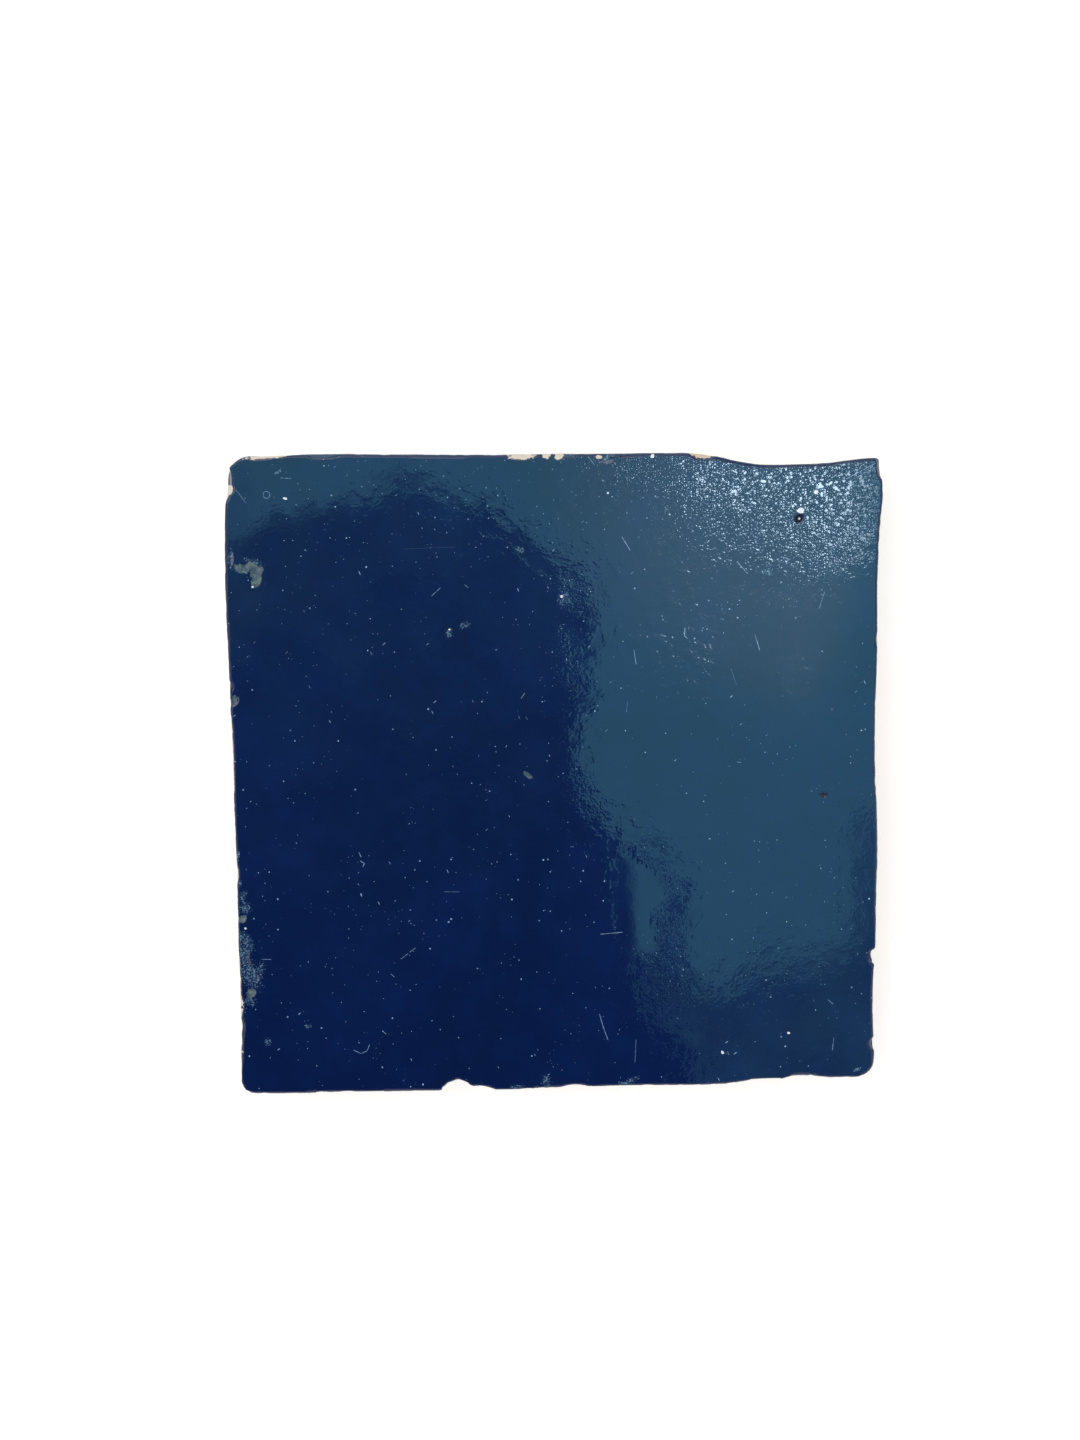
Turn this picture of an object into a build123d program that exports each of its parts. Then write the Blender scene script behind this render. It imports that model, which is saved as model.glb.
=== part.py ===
from build123d import *
import math
import os
from dataclasses import dataclass

# One hand-cut glazed clay tile, lying on its back with the glaze up.
# The origin is on the floor under the middle of the tile, and the sizes are in millimetres.

# Main sizes
FACE_WIDTH = 100.8
FACE_LENGTH = 101.2
THICKNESS = 11.0

# The sides: a knife-cut lip under the glaze, and below it a bevel hammered in towards the back
LIP_HEIGHT = 3.0
LIP_INSET = 0.2
BACK_INSET = 2.4
BACK_CORNER_EXTRA = 1.6
ARRIS_RADIUS = 0.25


@dataclass
class Side:
    """One edge of the face, followed anticlockwise.

    wander says how far the edge stands out from a true rectangle, at even steps between its corners.
    """

    wander: tuple[float, ...]


@dataclass
class Corner:
    """The corner where a side starts: how far it stands out from a true rectangle, and its rounding."""

    out_x: float
    out_y: float
    radius: float


# The sides run in the order front, right, rear, left, and each corner starts its side
FRONT, RIGHT, REAR, LEFT = range(4)
SIDES = (
    Side(
        (0.62, 0.55, 0.4, 0.35, 0.25, 0.2, 0.15, 0.1, -0.05, -0.3)
        + (-0.4, -0.62, -0.7, -0.72, -0.78, -0.85, -0.9, -2.35, -2.05)
    ),
    Side(
        (0.35, 0.15, 0.2, 0.48, 0.4, 0.42, 0.46, 0.31, 0.09, -0.21)
        + (-0.32, -0.33, -0.22, -0.18, -0.27, -0.37, -0.29, -0.1, 0.2)
    ),
    Side((-0.8, -1.15, -1.0, 0.3, 0.65, 0.55, 0.5, 0.45, 0.4, 0.35, 0.4, 0.4, 0.45, 0.3)),
    Side((0.5, 0.6, 0.6, 0.35, 0.2, 0.05, -0.15, -0.15, -0.3, -0.4, -0.45, -0.5, -0.65, -0.7)),
)
CORNERS = (
    Corner(-0.6, 0.6, 2.3),
    Corner(0.55, -2.1, 3.0),
    Corner(-0.1, -0.15, 0.7),
    Corner(0.25, 0.1, 3.8),
)


@dataclass
class Wave:
    """One of the long, low waves that the wet glaze and the hand-beaten clay leave in the face."""

    height: float
    length: float
    heading: float
    start: float


FACE_WAVES = (
    Wave(0.15, 96.0, 24.0, 40.0),
    Wave(0.10, 61.0, 118.0, 205.0),
    Wave(0.05, 37.0, 70.0, 310.0),
    Wave(0.035, 27.0, 155.0, 95.0),
)
FACE_GRID = 15
FACE_OVERHANG = 4.0


@dataclass
class Chip:
    """A flake gone from the arris.

    share is its place along the side, width runs along the arris, depth runs in over the face, and
    drop runs down the side.
    """

    side: int
    share: float
    width: float
    depth: float
    drop: float


CHIPS = (
    Chip(FRONT, 0.336, 5.0, 1.6, 4.0),
    Chip(FRONT, 0.367, 6.6, 0.75, 3.0),
    Chip(FRONT, 0.532, 5.0, 0.5, 2.5),
    Chip(RIGHT, 0.027, 1.6, 0.5, 1.6),
    Chip(RIGHT, 0.177, 1.9, 0.8, 2.2),
    Chip(RIGHT, 0.710, 3.2, 0.35, 0.9),
    Chip(RIGHT, 0.990, 3.4, 0.7, 2.0),
    Chip(REAR, 0.079, 2.0, 0.3, 0.6),
    Chip(REAR, 0.272, 3.4, 0.5, 0.8),
    Chip(REAR, 0.494, 3.8, 0.5, 0.8),
    Chip(REAR, 0.558, 3.4, 0.55, 0.9),
    Chip(REAR, 0.884, 6.5, 0.6, 0.9),
    Chip(LEFT, 0.000, 7.0, 1.0, 2.5),
    Chip(LEFT, 0.335, 2.4, 0.45, 0.7),
    Chip(LEFT, 0.649, 5.0, 0.4, 0.8),
    Chip(LEFT, 0.907, 3.6, 0.45, 0.9),
)

# Hammer scoops along the bevel
SCOOP_PITCH = 11.5
SCOOP_WIDTH = 14.0
SCOOP_DEPTH = 0.65
SCOOP_UNEVENNESS = 0.3


def face_height(x, y):
    """How high the glazed face stands at a place on it."""
    height = THICKNESS
    for wave in FACE_WAVES:
        heading = math.radians(wave.heading)
        along = x * math.cos(heading) + y * math.sin(heading)
        height += wave.height * math.sin(math.tau * along / wave.length + math.radians(wave.start))
    return height


def outline(inset, corner_extra, z):
    """The tile's outline at one height, as edges: each side is a bowed curve, then its far corner's arc.

    inset moves all of it in from the face's outline, and corner_extra is added to each corner's radius.
    """
    half_width = FACE_WIDTH / 2 - inset
    half_length = FACE_LENGTH / 2 - inset
    signs = ((-1, -1), (1, -1), (1, 1), (-1, 1))
    tips = []
    for corner, (sign_x, sign_y) in zip(CORNERS, signs):
        tips.append(Vector(sign_x * (half_width + corner.out_x), sign_y * (half_length + corner.out_y), z))
    headings = (Vector(1, 0, 0), Vector(0, 1, 0), Vector(-1, 0, 0), Vector(0, -1, 0))
    edges = []
    for number, side in enumerate(SIDES):
        heading = headings[number]
        outward = Vector(heading.Y, -heading.X, 0)
        following = (number + 1) % len(SIDES)
        radius = CORNERS[number].radius + corner_extra
        next_radius = CORNERS[following].radius + corner_extra
        start = tips[number] + heading * radius
        end = tips[following] - heading * next_radius
        reach = half_length if outward.X == 0 else half_width
        points = [start]
        for step, stand_out in enumerate(side.wander, 1):
            share = step / (len(side.wander) + 1)
            on_line = start + (end - start) * share
            out_now = on_line.dot(outward)
            points.append(on_line + outward * (reach + stand_out - out_now))
        points.append(end)
        edges.append(Edge.make_spline(points, tangents=(heading, heading)))
        corner_end = tips[following] + headings[following] * next_radius
        edges.append(Edge.make_tangent_arc(end, heading, corner_end))
    return edges


def section(inset, corner_extra, z):
    """The outline at one height as a flat face."""
    return Face(Wire(outline(inset, corner_extra, z)))


def above_face():
    """Everything above the undulating face, as a solid to cut away."""
    half_width = FACE_WIDTH / 2 + FACE_OVERHANG
    half_length = FACE_LENGTH / 2 + FACE_OVERHANG
    rows = []
    for row in range(FACE_GRID):
        y = half_length * (2 * row / (FACE_GRID - 1) - 1)
        line = []
        for column in range(FACE_GRID):
            x = half_width * (2 * column / (FACE_GRID - 1) - 1)
            line.append(Vector(x, y, face_height(x, y)))
        rows.append(line)
    surface = Face.make_surface_from_array_of_points(rows)
    return extrude(surface, amount=THICKNESS, dir=(0, 0, 1))


def blank():
    """The tile before it is chipped and hammered: tapered sides, an undulating face and a rounded arris."""
    lip_z = THICKNESS - LIP_HEIGHT
    top_z = THICKNESS + sum(wave.height for wave in FACE_WAVES)
    rim = section(0, 0, top_z)
    lip = section(LIP_INSET, 0, lip_z)
    back = section(BACK_INSET, BACK_CORNER_EXTRA, 0)
    body = loft([back, lip, rim], ruled=True) - above_face()
    face = body.faces().sort_by(Axis.Z)[-1]
    return fillet(face.edges(), ARRIS_RADIUS)


def ball(centre, outward, radius):
    """A ball whose seam faces away from the tile."""
    return Plane(origin=centre, x_dir=outward, z_dir=(0, 0, 1)) * Sphere(radius)


def side_place(edges, side, share):
    """A place on one side of an outline, with the direction out of the tile there."""
    edge = edges[2 * side]
    place = edge @ share
    heading = edge % share
    return place, Vector(heading.Y, -heading.X, 0).normalized()


def chip_cutter(rim_edges, chip):
    """The ball that takes one flake off the arris.

    In the upright plane across the arris, the ball passes through a point that lies depth in over the
    face, and a point that lies drop down the side, and it is width wide where it meets the arris.
    """
    place, outward = side_place(rim_edges, chip.side, chip.share)
    arris = Vector(place.X, place.Y, face_height(place.X, place.Y))
    chord = math.hypot(chip.depth, chip.drop)
    stand_off = chip.width**2 * chord / (8 * chip.depth * chip.drop)
    radius = math.hypot(stand_off, chord / 2)
    middle = arris - outward * (chip.depth / 2) - Vector(0, 0, chip.drop / 2)
    away = (outward * chip.drop + Vector(0, 0, chip.depth)) * (1 / chord)
    return ball(middle + away * stand_off, outward, radius)


def scoop_cutters():
    """The balls that leave the hammer's shallow scoops along the bevel of each side."""
    bevel_height = THICKNESS - LIP_HEIGHT
    bevel_run = BACK_INSET - LIP_INSET
    bevel = math.atan2(bevel_run, bevel_height)
    radius = (SCOOP_WIDTH**2 / 4 + SCOOP_DEPTH**2) / (2 * SCOOP_DEPTH)
    middle_z = bevel_height / 2
    edges = outline((LIP_INSET + BACK_INSET) / 2, BACK_CORNER_EXTRA / 2, middle_z)
    cutters = []
    for side in range(len(SIDES)):
        count = max(2, round(edges[2 * side].length / SCOOP_PITCH))
        for number in range(count):
            turn = math.sin(2.4 * number + 1.7 * side)
            share = (number + 0.5 + SCOOP_UNEVENNESS * turn / 2) / count
            place, outward = side_place(edges, side, share)
            across = outward * math.cos(bevel) - Vector(0, 0, math.sin(bevel))
            depth = SCOOP_DEPTH * (1 + SCOOP_UNEVENNESS * math.cos(3.1 * number + side))
            cutters.append(ball(place + across * (radius - depth), outward, radius))
    return cutters


def zellige_tile():
    """The finished tile."""
    rim_edges = outline(0, 0, THICKNESS)
    tile = blank()
    for cutter in scoop_cutters():
        tile -= cutter
    for chip in CHIPS:
        tile -= chip_cutter(rim_edges, chip)
    return tile


os.makedirs("parts", exist_ok=True)
tile = zellige_tile()
export_step(tile, "parts/zellige_tile.step")
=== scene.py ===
"""The finished look of one hand-cut glazed clay tile, lying on its back on a pale floor."""

import logging
import math
from dataclasses import dataclass
from enum import Enum

import bpy
import numpy as np
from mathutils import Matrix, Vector, noise
from mathutils.kdtree import KDTree


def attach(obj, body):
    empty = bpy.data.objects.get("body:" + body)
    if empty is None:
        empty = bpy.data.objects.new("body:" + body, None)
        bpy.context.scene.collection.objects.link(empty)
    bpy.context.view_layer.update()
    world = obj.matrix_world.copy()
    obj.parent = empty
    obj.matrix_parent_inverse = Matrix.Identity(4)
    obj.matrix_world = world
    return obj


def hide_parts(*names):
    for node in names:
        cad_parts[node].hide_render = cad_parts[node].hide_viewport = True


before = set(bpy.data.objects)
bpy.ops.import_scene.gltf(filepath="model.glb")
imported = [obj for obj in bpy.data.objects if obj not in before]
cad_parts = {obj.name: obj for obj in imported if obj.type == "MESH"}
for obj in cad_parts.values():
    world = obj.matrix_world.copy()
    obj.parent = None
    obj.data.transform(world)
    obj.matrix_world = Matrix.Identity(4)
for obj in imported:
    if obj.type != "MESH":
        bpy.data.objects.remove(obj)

log = logging.getLogger("zellige_tile")

MM = 0.001
NODE = "zellige_tile"
SLOT = "glazed_clay"

Colour = tuple[float, float, float]
Socket = bpy.types.NodeSocket
Value = Socket | float | tuple[float, ...]

WHITE: Colour = (1.0, 1.0, 1.0)
BLACK: Colour = (0.0, 0.0, 0.0)

# What a place is multiplied by to lay it flat on the floor
FLAT = (1.0, 1.0, 0.0)

# How far the noise of one seed lies from that of the next, along each axis
SEED_SHIFT = (7.3, 3.1, 5.7)

# The middle of what a soft noise node gives
NOISE_MIDDLE = 0.5

# The numbers of the Mix node's sockets for colours
MIX_SHARE = 0
MIX_FIRST = 6
MIX_SECOND = 7
MIX_RESULT = 2


def linear(red: int, green: int, blue: int) -> Colour:
    """A colour written as eye-level 0 to 255 values, as the linear values that shaders take.

    Args:
        red: Red, 0 to 255.
        green: Green, 0 to 255.
        blue: Blue, 0 to 255.

    Returns:
        The linear red, green and blue.
    """
    def one(value: int) -> float:
        """One channel of the colour, made linear."""
        share = value / 255
        return share / 12.92 if share <= 0.04045 else ((share + 0.055) / 1.055) ** 2.4

    return (one(red), one(green), one(blue))


def read_vectors(items: bpy.types.bpy_prop_collection, name: str) -> np.ndarray:
    """Reads a vector of each item of a mesh.

    Args:
        items: The mesh's vertices, polygons or normals.
        name: The vector's name.

    Returns:
        One vector a row.
    """
    values = np.empty(len(items) * 3)
    items.foreach_get(name, values)
    return values.reshape(-1, 3)


def write_values(mesh: bpy.types.Mesh, name: str, values: np.ndarray) -> None:
    """Gives each point of a mesh a value of its own, for the material to read.

    Args:
        mesh: The mesh.
        name: The values' name.
        values: One value a point.
    """
    mesh.attributes.new(name, "FLOAT", "POINT").data.foreach_set("value", values)


@dataclass(frozen=True)
class Ramp:
    """A smooth step from 0 at its start to 1 at its end, whichever of the two is larger."""

    start: float
    end: float

    def __call__(self, value: np.ndarray) -> np.ndarray:
        """How far up the step values are.

        Args:
            value: The values.

        Returns:
            0 before the start, 1 past the end and a smooth curve between.
        """
        share = np.clip((value - self.start) / (self.end - self.start), 0.0, 1.0)
        return share * share * (3 - 2 * share)


@dataclass(frozen=True)
class Band:
    """A stretch of values that starts with one step and ends with another."""

    rise: Ramp
    fall: Ramp

    def __call__(self, value: np.ndarray) -> np.ndarray:
        """How far inside the stretch values are, from 0 to 1."""
        return self.rise(value) * self.fall(value)


@dataclass(frozen=True)
class Rolling:
    """Smooth noise, with features of one size in the unit of the places it is asked for."""

    size: float
    seed: float

    def __call__(self, places: np.ndarray) -> np.ndarray:
        """The noise at many places.

        Args:
            places: One place a row.

        Returns:
            About -1 to 1 at each place.
        """
        shift = Vector([self.seed * axis for axis in SEED_SHIFT])
        return np.array([noise.noise(Vector(place) / self.size + shift) for place in places])


@dataclass(frozen=True)
class Zone:
    """A part of the picture with soft borders, as the steps that bound it across and down."""

    across: tuple[Ramp, ...] = ()
    down: tuple[Ramp, ...] = ()

    def share(self, picture: np.ndarray) -> np.ndarray:
        """How far inside the zone picture points are.

        Args:
            picture: One picture point a row.

        Returns:
            0 outside, 1 inside and a smooth curve between.
        """
        share = np.ones(len(picture))
        for axis, ramps in enumerate((self.across, self.down)):
            for ramp in ramps:
                share = share * ramp(picture[:, axis])
        return share


@dataclass(frozen=True)
class Oval:
    """An upright ellipse of picture points, by its middle, its half width and its half height."""

    x_px: float
    y_px: float
    across_px: float
    down_px: float

    def reach(self, picture: np.ndarray) -> np.ndarray:
        """How far out picture points are.

        Args:
            picture: One picture point a row.

        Returns:
            0 in the middle, 1 on the ellipse and more outside it.
        """
        across = (picture[:, 0] - self.x_px) / self.across_px
        down = (picture[:, 1] - self.y_px) / self.down_px
        return np.hypot(across, down)


@dataclass(frozen=True)
class Wave:
    """One of the long, low waves in the glazed face, in millimetres and degrees."""

    height: float
    length: float
    heading: float
    start: float


@dataclass(frozen=True)
class GlazedFace:
    """The shape of the face: the same crossing waves that the solid has."""

    thickness: float = 11.0
    waves: tuple[Wave, ...] = (
        Wave(0.15, 96.0, 24.0, 40.0),
        Wave(0.10, 61.0, 118.0, 205.0),
        Wave(0.05, 37.0, 70.0, 310.0),
        Wave(0.035, 27.0, 155.0, 95.0),
    )

    def height(self, x: np.ndarray, y: np.ndarray) -> np.ndarray:
        """How high the face stands.

        Args:
            x: Places across the tile, in metres.
            y: Places along the tile, in metres.

        Returns:
            The heights, in metres.
        """
        total = np.full(np.shape(x), self.thickness)
        for wave in self.waves:
            heading = math.radians(wave.heading)
            along = (x * math.cos(heading) + y * math.sin(heading)) / MM
            total = total + wave.height * np.sin(math.tau * along / wave.length + math.radians(wave.start))
        return total * MM

    def normals(self, x: np.ndarray, y: np.ndarray) -> np.ndarray:
        """The directions that the face's places look in.

        Args:
            x: Places across the tile, in metres.
            y: Places along the tile, in metres.

        Returns:
            One direction a row, one metre long.
        """
        step = 0.1 * MM
        rise_x = (self.height(x + step, y) - self.height(x - step, y)) / (2 * step)
        rise_y = (self.height(x, y + step) - self.height(x, y - step)) / (2 * step)
        normals = np.column_stack((-rise_x, -rise_y, np.ones(len(rise_x))))
        return normals / np.linalg.norm(normals, axis=1)[:, None]


@dataclass(frozen=True)
class Viewpoint:
    """Where the photograph was taken from, and how its picture points fall on the tile."""

    width_px: float = 1080.0
    height_px: float = 1440.0
    distance: float = 520.0 * MM
    tilt: float = math.radians(11.0)
    px_per_metre: float = 6417.0
    aim: tuple[float, float, float] = (-2.23 * MM, 9.48 * MM, 11.0 * MM)
    sensor: float = 36.0
    nearest_seen: float = 10.0 * MM
    corrections: int = 4

    def backward(self) -> Vector:
        """The direction from the aimed point to the camera."""
        return Vector((0.0, math.sin(self.tilt), math.cos(self.tilt)))

    def upward(self) -> Vector:
        """The direction that points up in the picture."""
        return Vector((0.0, math.cos(self.tilt), -math.sin(self.tilt)))

    def eye(self) -> Vector:
        """Where the camera is."""
        return Vector(self.aim) + self.backward() * self.distance

    def rays(self, points_px: np.ndarray) -> np.ndarray:
        """The directions from the camera through picture points.

        Args:
            points_px: One picture point a row, from the left and from the top.

        Returns:
            One direction a row, one metre long.
        """
        focal = self.px_per_metre * self.distance
        across = (points_px[:, 0] - self.width_px / 2) / focal
        up = (self.height_px / 2 - points_px[:, 1]) / focal
        rays = np.outer(across, (1.0, 0.0, 0.0)) + np.outer(up, self.upward()) - np.array(self.backward())
        return rays / np.linalg.norm(rays, axis=1)[:, None]

    def on_face(self, face: GlazedFace, points_px: np.ndarray) -> np.ndarray:
        """The places on the glazed face, or level with it, that picture points show.

        Args:
            face: The shape of the face.
            points_px: One picture point a row.

        Returns:
            One place a row, in metres.
        """
        eye = np.array(self.eye())
        rays = self.rays(points_px)
        level = np.full(len(points_px), face.thickness * MM)
        for _ in range(self.corrections):
            places = eye + rays * ((level - eye[2]) / rays[:, 2])[:, None]
            level = face.height(places[:, 0], places[:, 1])
        return places

    def mirrored(self, face: GlazedFace, points_px: np.ndarray, height: float) -> np.ndarray:
        """The places in the air whose reflections in the face show at picture points.

        Args:
            face: The shape of the face.
            points_px: One picture point a row.
            height: How high over the floor the places are, in metres.

        Returns:
            One place a row, in metres.
        """
        places = self.on_face(face, points_px)
        normals = face.normals(places[:, 0], places[:, 1])
        rays = self.rays(points_px)
        onward = rays - 2 * np.sum(rays * normals, axis=1)[:, None] * normals
        return places + onward * ((height - places[:, 2]) / onward[:, 2])[:, None]

    def picture(self, places: np.ndarray) -> np.ndarray:
        """Where places show in the picture.

        Args:
            places: One place a row, in metres.

        Returns:
            One picture point a row.
        """
        away = places - np.array(self.eye())
        depth = -(away @ np.array(self.backward()))
        focal = self.px_per_metre * self.distance
        x_px = self.width_px / 2 + focal * away[:, 0] / depth
        y_px = self.height_px / 2 - focal * (away @ np.array(self.upward())) / depth
        return np.column_stack((x_px, y_px))

    def add_camera(self) -> bpy.types.Object:
        """Puts the camera where the photograph was taken from.

        Returns:
            The camera.
        """
        data = bpy.data.cameras.new("camera")
        data.sensor_fit = "VERTICAL"
        data.sensor_height = self.sensor
        data.lens = self.px_per_metre * self.distance / self.height_px * self.sensor
        data.clip_start = self.nearest_seen
        camera = bpy.data.objects.new("camera", data)
        camera.location = self.eye()
        camera.rotation_euler = (-self.tilt, 0.0, 0.0)
        bpy.context.scene.collection.objects.link(camera)
        bpy.context.scene.camera = camera
        return camera


@dataclass(frozen=True)
class Mottle:
    """Soft noise that fades from one value to another.

    size is its feature size, in metres. Noise under low gives first, and noise over high gives last.
    """

    size: float
    low: float
    high: float
    first: float = 0.0
    last: float = 1.0
    detail: float = 2.0
    roughness: float = 0.5


@dataclass(frozen=True)
class Relief:
    """One layer of fine relief, with its feature size and its height in metres."""

    size: float
    height: float
    detail: float
    roughness: float = 0.5


@dataclass(frozen=True)
class Scatter:
    """Dots scattered over a surface, by chance.

    cell is how far apart the possible dots are and radius is the largest one's, both in metres. rarity is
    the share of them that is left out. Where noise crowds them, crowded_rarity is that share instead, and
    crowding says at which levels of the noise the one gives way to the other.
    """

    cell: float
    radius: float
    rarity: float
    crowded_rarity: float = 0.0
    crowding: tuple[float, float] = (0.0, 1.0)
    strength: float = 1.0
    smallest: float = 0.3
    dimmest: float = 0.15
    unevenness: float = 1.25
    edge: tuple[float, float] = (1.1, 0.5)


class Wiring:
    """Adds and joins the nodes of one node tree: a material's, a world's or a group's."""

    def __init__(self, tree: bpy.types.NodeTree) -> None:
        """Starts on an emptied tree.

        Args:
            tree: The node tree to fill.
        """
        tree.nodes.clear()
        self.tree = tree

    def add(self, kind: str, settings: dict[str, object] | None = None, **inputs: Value) -> bpy.types.Node:
        """Adds one node.

        Args:
            kind: The node's type.
            settings: The node's own properties.
            inputs: Values or sockets by input name, with _ for a space.

        Returns:
            The new node.
        """
        node = self.tree.nodes.new(kind)
        for name, value in (settings or {}).items():
            setattr(node, name, value)
        for name, value in inputs.items():
            self.put(node.inputs[name.replace("_", " ")], value)
        return node

    def put(self, socket: Socket, value: Value) -> None:
        """Joins a socket to an input, or sets the input's own value.

        Args:
            socket: The input.
            value: Another node's output, a number, a colour or a place.
        """
        if isinstance(value, bpy.types.NodeSocket):
            self.tree.links.new(value, socket)
        elif socket.type == "RGBA" and len(value) == 3:
            socket.default_value = (*value, 1.0)
        else:
            socket.default_value = value

    def maths(
        self, operation: str, first: Value, second: Value = 0.0, third: Value = 0.0, clamp: bool = False
    ) -> Socket:
        """One sum.

        Args:
            operation: The Math node's operation.
            first: The first number or socket.
            second: The second number or socket.
            third: The third number or socket.
            clamp: Whether the result is held between 0 and 1.

        Returns:
            The result's socket.
        """
        node = self.add("ShaderNodeMath", {"operation": operation, "use_clamp": clamp})
        for socket, value in zip(node.inputs, (first, second, third)):
            self.put(socket, value)
        return node.outputs[0]

    def vectors(self, operation: str, first: Value, second: Value) -> Socket:
        """One sum of two vectors.

        Args:
            operation: The Vector Math node's operation.
            first: The first vector or its socket.
            second: The second vector or its socket.

        Returns:
            The result's socket, a number for a product or distance.
        """
        node = self.add("ShaderNodeVectorMath", {"operation": operation})
        self.put(node.inputs[0], first)
        self.put(node.inputs[1], second)
        return node.outputs["Value" if operation in ("DOT_PRODUCT", "DISTANCE") else "Vector"]

    def step(self, value: Socket, low: float, high: float, first: float = 0.0, last: float = 1.0) -> Socket:
        """A smooth step of a socket's value.

        Args:
            value: The socket to step.
            low: Where the step starts.
            high: Where the step ends.
            first: The result at the start.
            last: The result at the end.

        Returns:
            The result's socket.
        """
        node = self.add(
            "ShaderNodeMapRange",
            {"interpolation_type": "SMOOTHSTEP"},
            Value=value,
            From_Min=low,
            From_Max=high,
            To_Min=first,
            To_Max=last,
        )
        return node.outputs[0]

    def mix(self, share: Value, first: Value, second: Value) -> Socket:
        """One colour fading to another.

        Args:
            share: How much of the second, as a number or socket.
            first: The first colour or socket.
            second: The second colour or socket.

        Returns:
            The mixed colour's socket.
        """
        node = self.add("ShaderNodeMix", {"data_type": "RGBA"})
        self.put(node.inputs[MIX_SHARE], share)
        self.put(node.inputs[MIX_FIRST], first)
        self.put(node.inputs[MIX_SECOND], second)
        return node.outputs[MIX_RESULT]

    def attribute(self, name: str) -> Socket:
        """The value of a piece's own point attribute."""
        return self.add("ShaderNodeAttribute", {"attribute_name": name}).outputs["Fac"]

    def cloud(self, place: Socket, size: float, detail: float = 2.0, roughness: float = 0.5) -> Socket:
        """Soft noise.

        Args:
            place: The socket that holds the place.
            size: The feature size, in metres.
            detail: How many finer layers are added.
            roughness: How strong the finer layers are.

        Returns:
            A socket of about 0.2 to 0.8.
        """
        node = self.add(
            "ShaderNodeTexNoise", Vector=place, Scale=1 / size, Detail=detail, Roughness=roughness
        )
        return node.outputs[0]

    def mottled(self, place: Socket, mottle: Mottle) -> Socket:
        """The value of a mottle at each place."""
        soft = self.cloud(place, mottle.size, mottle.detail, mottle.roughness)
        return self.step(soft, mottle.low, mottle.high, mottle.first, mottle.last)

    def raised(self, place: Socket, relief: Relief) -> Socket:
        """The height of a layer of relief at each place, in metres."""
        soft = self.cloud(place, relief.size, relief.detail, relief.roughness)
        return self.maths("MULTIPLY", soft, relief.height)

    def cells(self, place: Socket, size: float) -> tuple[Socket, bpy.types.Node]:
        """Scattered points, with the ground shared out between them in cells.

        Args:
            place: The socket that holds the place.
            size: How far apart the points are, in metres.

        Returns:
            The distance to the nearest point, as a share of size, and the node that holds the three
            chances of its cell.
        """
        scatter = self.add(
            "ShaderNodeTexVoronoi",
            {"voronoi_dimensions": "2D"},
            Vector=place,
            Scale=1 / size,
            Randomness=1.0,
        )
        chances = self.add("ShaderNodeSeparateColor", Color=scatter.outputs["Color"])
        return scatter.outputs["Distance"], chances

    def sum_of(self, first: bpy.types.Node, second: bpy.types.Node) -> bpy.types.Node:
        """Two shaders added together.

        Args:
            first: The first shader.
            second: The second shader.

        Returns:
            The shader that adds them.
        """
        node = self.add("ShaderNodeAddShader")
        self.put(node.inputs[0], first.outputs[0])
        self.put(node.inputs[1], second.outputs[0])
        return node

    def finish(self, shader: bpy.types.Node, kind: str = "ShaderNodeOutputMaterial") -> None:
        """Joins the finished shader to the tree's output.

        Args:
            shader: The shader.
            kind: The output node's type.
        """
        self.put(self.add(kind).inputs["Surface"], shader.outputs[0])


def start_material(name: str) -> tuple[bpy.types.Material, Wiring]:
    """Makes a material with an empty node tree.

    Args:
        name: The material's name.

    Returns:
        The material and the wiring of its nodes.
    """
    material = bpy.data.materials.new(name)
    material.use_nodes = True
    return material, Wiring(material.node_tree)


@dataclass(frozen=True)
class Glaze:
    """The fused cobalt glaze: deep, glossy, rippled like orange peel, pricked and scratched, with painted
    highlights, painted shade in its pits and pale specks that are partly painted highlights.
    """

    deep: Colour = linear(9, 27, 71)
    pale: Colour = linear(11, 33, 82)
    thin: Colour = linear(30, 72, 104)
    # Painted shade: the dark colour inside the pits stands in for the shade that falls in them.
    pit: Colour = linear(5, 12, 28)
    # Pale specks, dots and scratches: pinholes, grit and wear, whose paleness is partly painted highlight.
    speck_with_painted_shine: Colour = linear(168, 208, 250)
    scuff: Colour = linear(118, 158, 186)
    # Painted highlight: the white of the glint marks stands in for glints of light on the glaze.
    painted_highlight: Colour = linear(236, 242, 250)
    flake_dark: Colour = linear(44, 70, 90)
    flake_light: Colour = linear(108, 130, 126)
    roughness: float = 0.05
    refraction: float = 1.55
    flake_cover: float = 0.85
    flake_matt: float = 0.4
    scuff_matt: float = 0.12
    broad_clouds: Mottle = Mottle(22 * MM, 0.35, 0.7, last=0.7, detail=3.0)
    fine_clouds: Mottle = Mottle(5 * MM, 0.4, 0.7, last=0.55, detail=4.0, roughness=0.65)
    scuff_tone: Mottle = Mottle(0.34 * MM, 0.46, 0.66, 0.06, 0.75, roughness=0.7)
    flake_tone: Mottle = Mottle(0.8 * MM, 0.38, 0.68, detail=4.0, roughness=0.7)
    peel_patches: Mottle = Mottle(1.7 * MM, 0.42, 0.6, 0.25, 1.0, roughness=0.6)
    peel: Relief = Relief(0.5 * MM, 0.01 * MM, detail=1.5)
    ripple: Relief = Relief(3.4 * MM, 0.02 * MM, detail=1.0)
    pebble_size: float = 0.37 * MM
    pebble_height: float = 0.027 * MM
    specks_with_painted_shine: Scatter = Scatter(1.6 * MM, 0.16 * MM, 0.97, 0.72, (0.42, 0.66))
    dust: Scatter = Scatter(0.75 * MM, 0.1 * MM, 0.99, 0.86, (0.44, 0.68), strength=0.9)
    hairs: Scatter = Scatter(1.1 * MM, 0.07 * MM, 0.955)
    hair_stretch: float = 5.5
    hair_turns: tuple[float, float] = (25.0, -50.0)
    crowd_size: float = 7 * MM
    grit_crowding: float = 0.24


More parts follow.
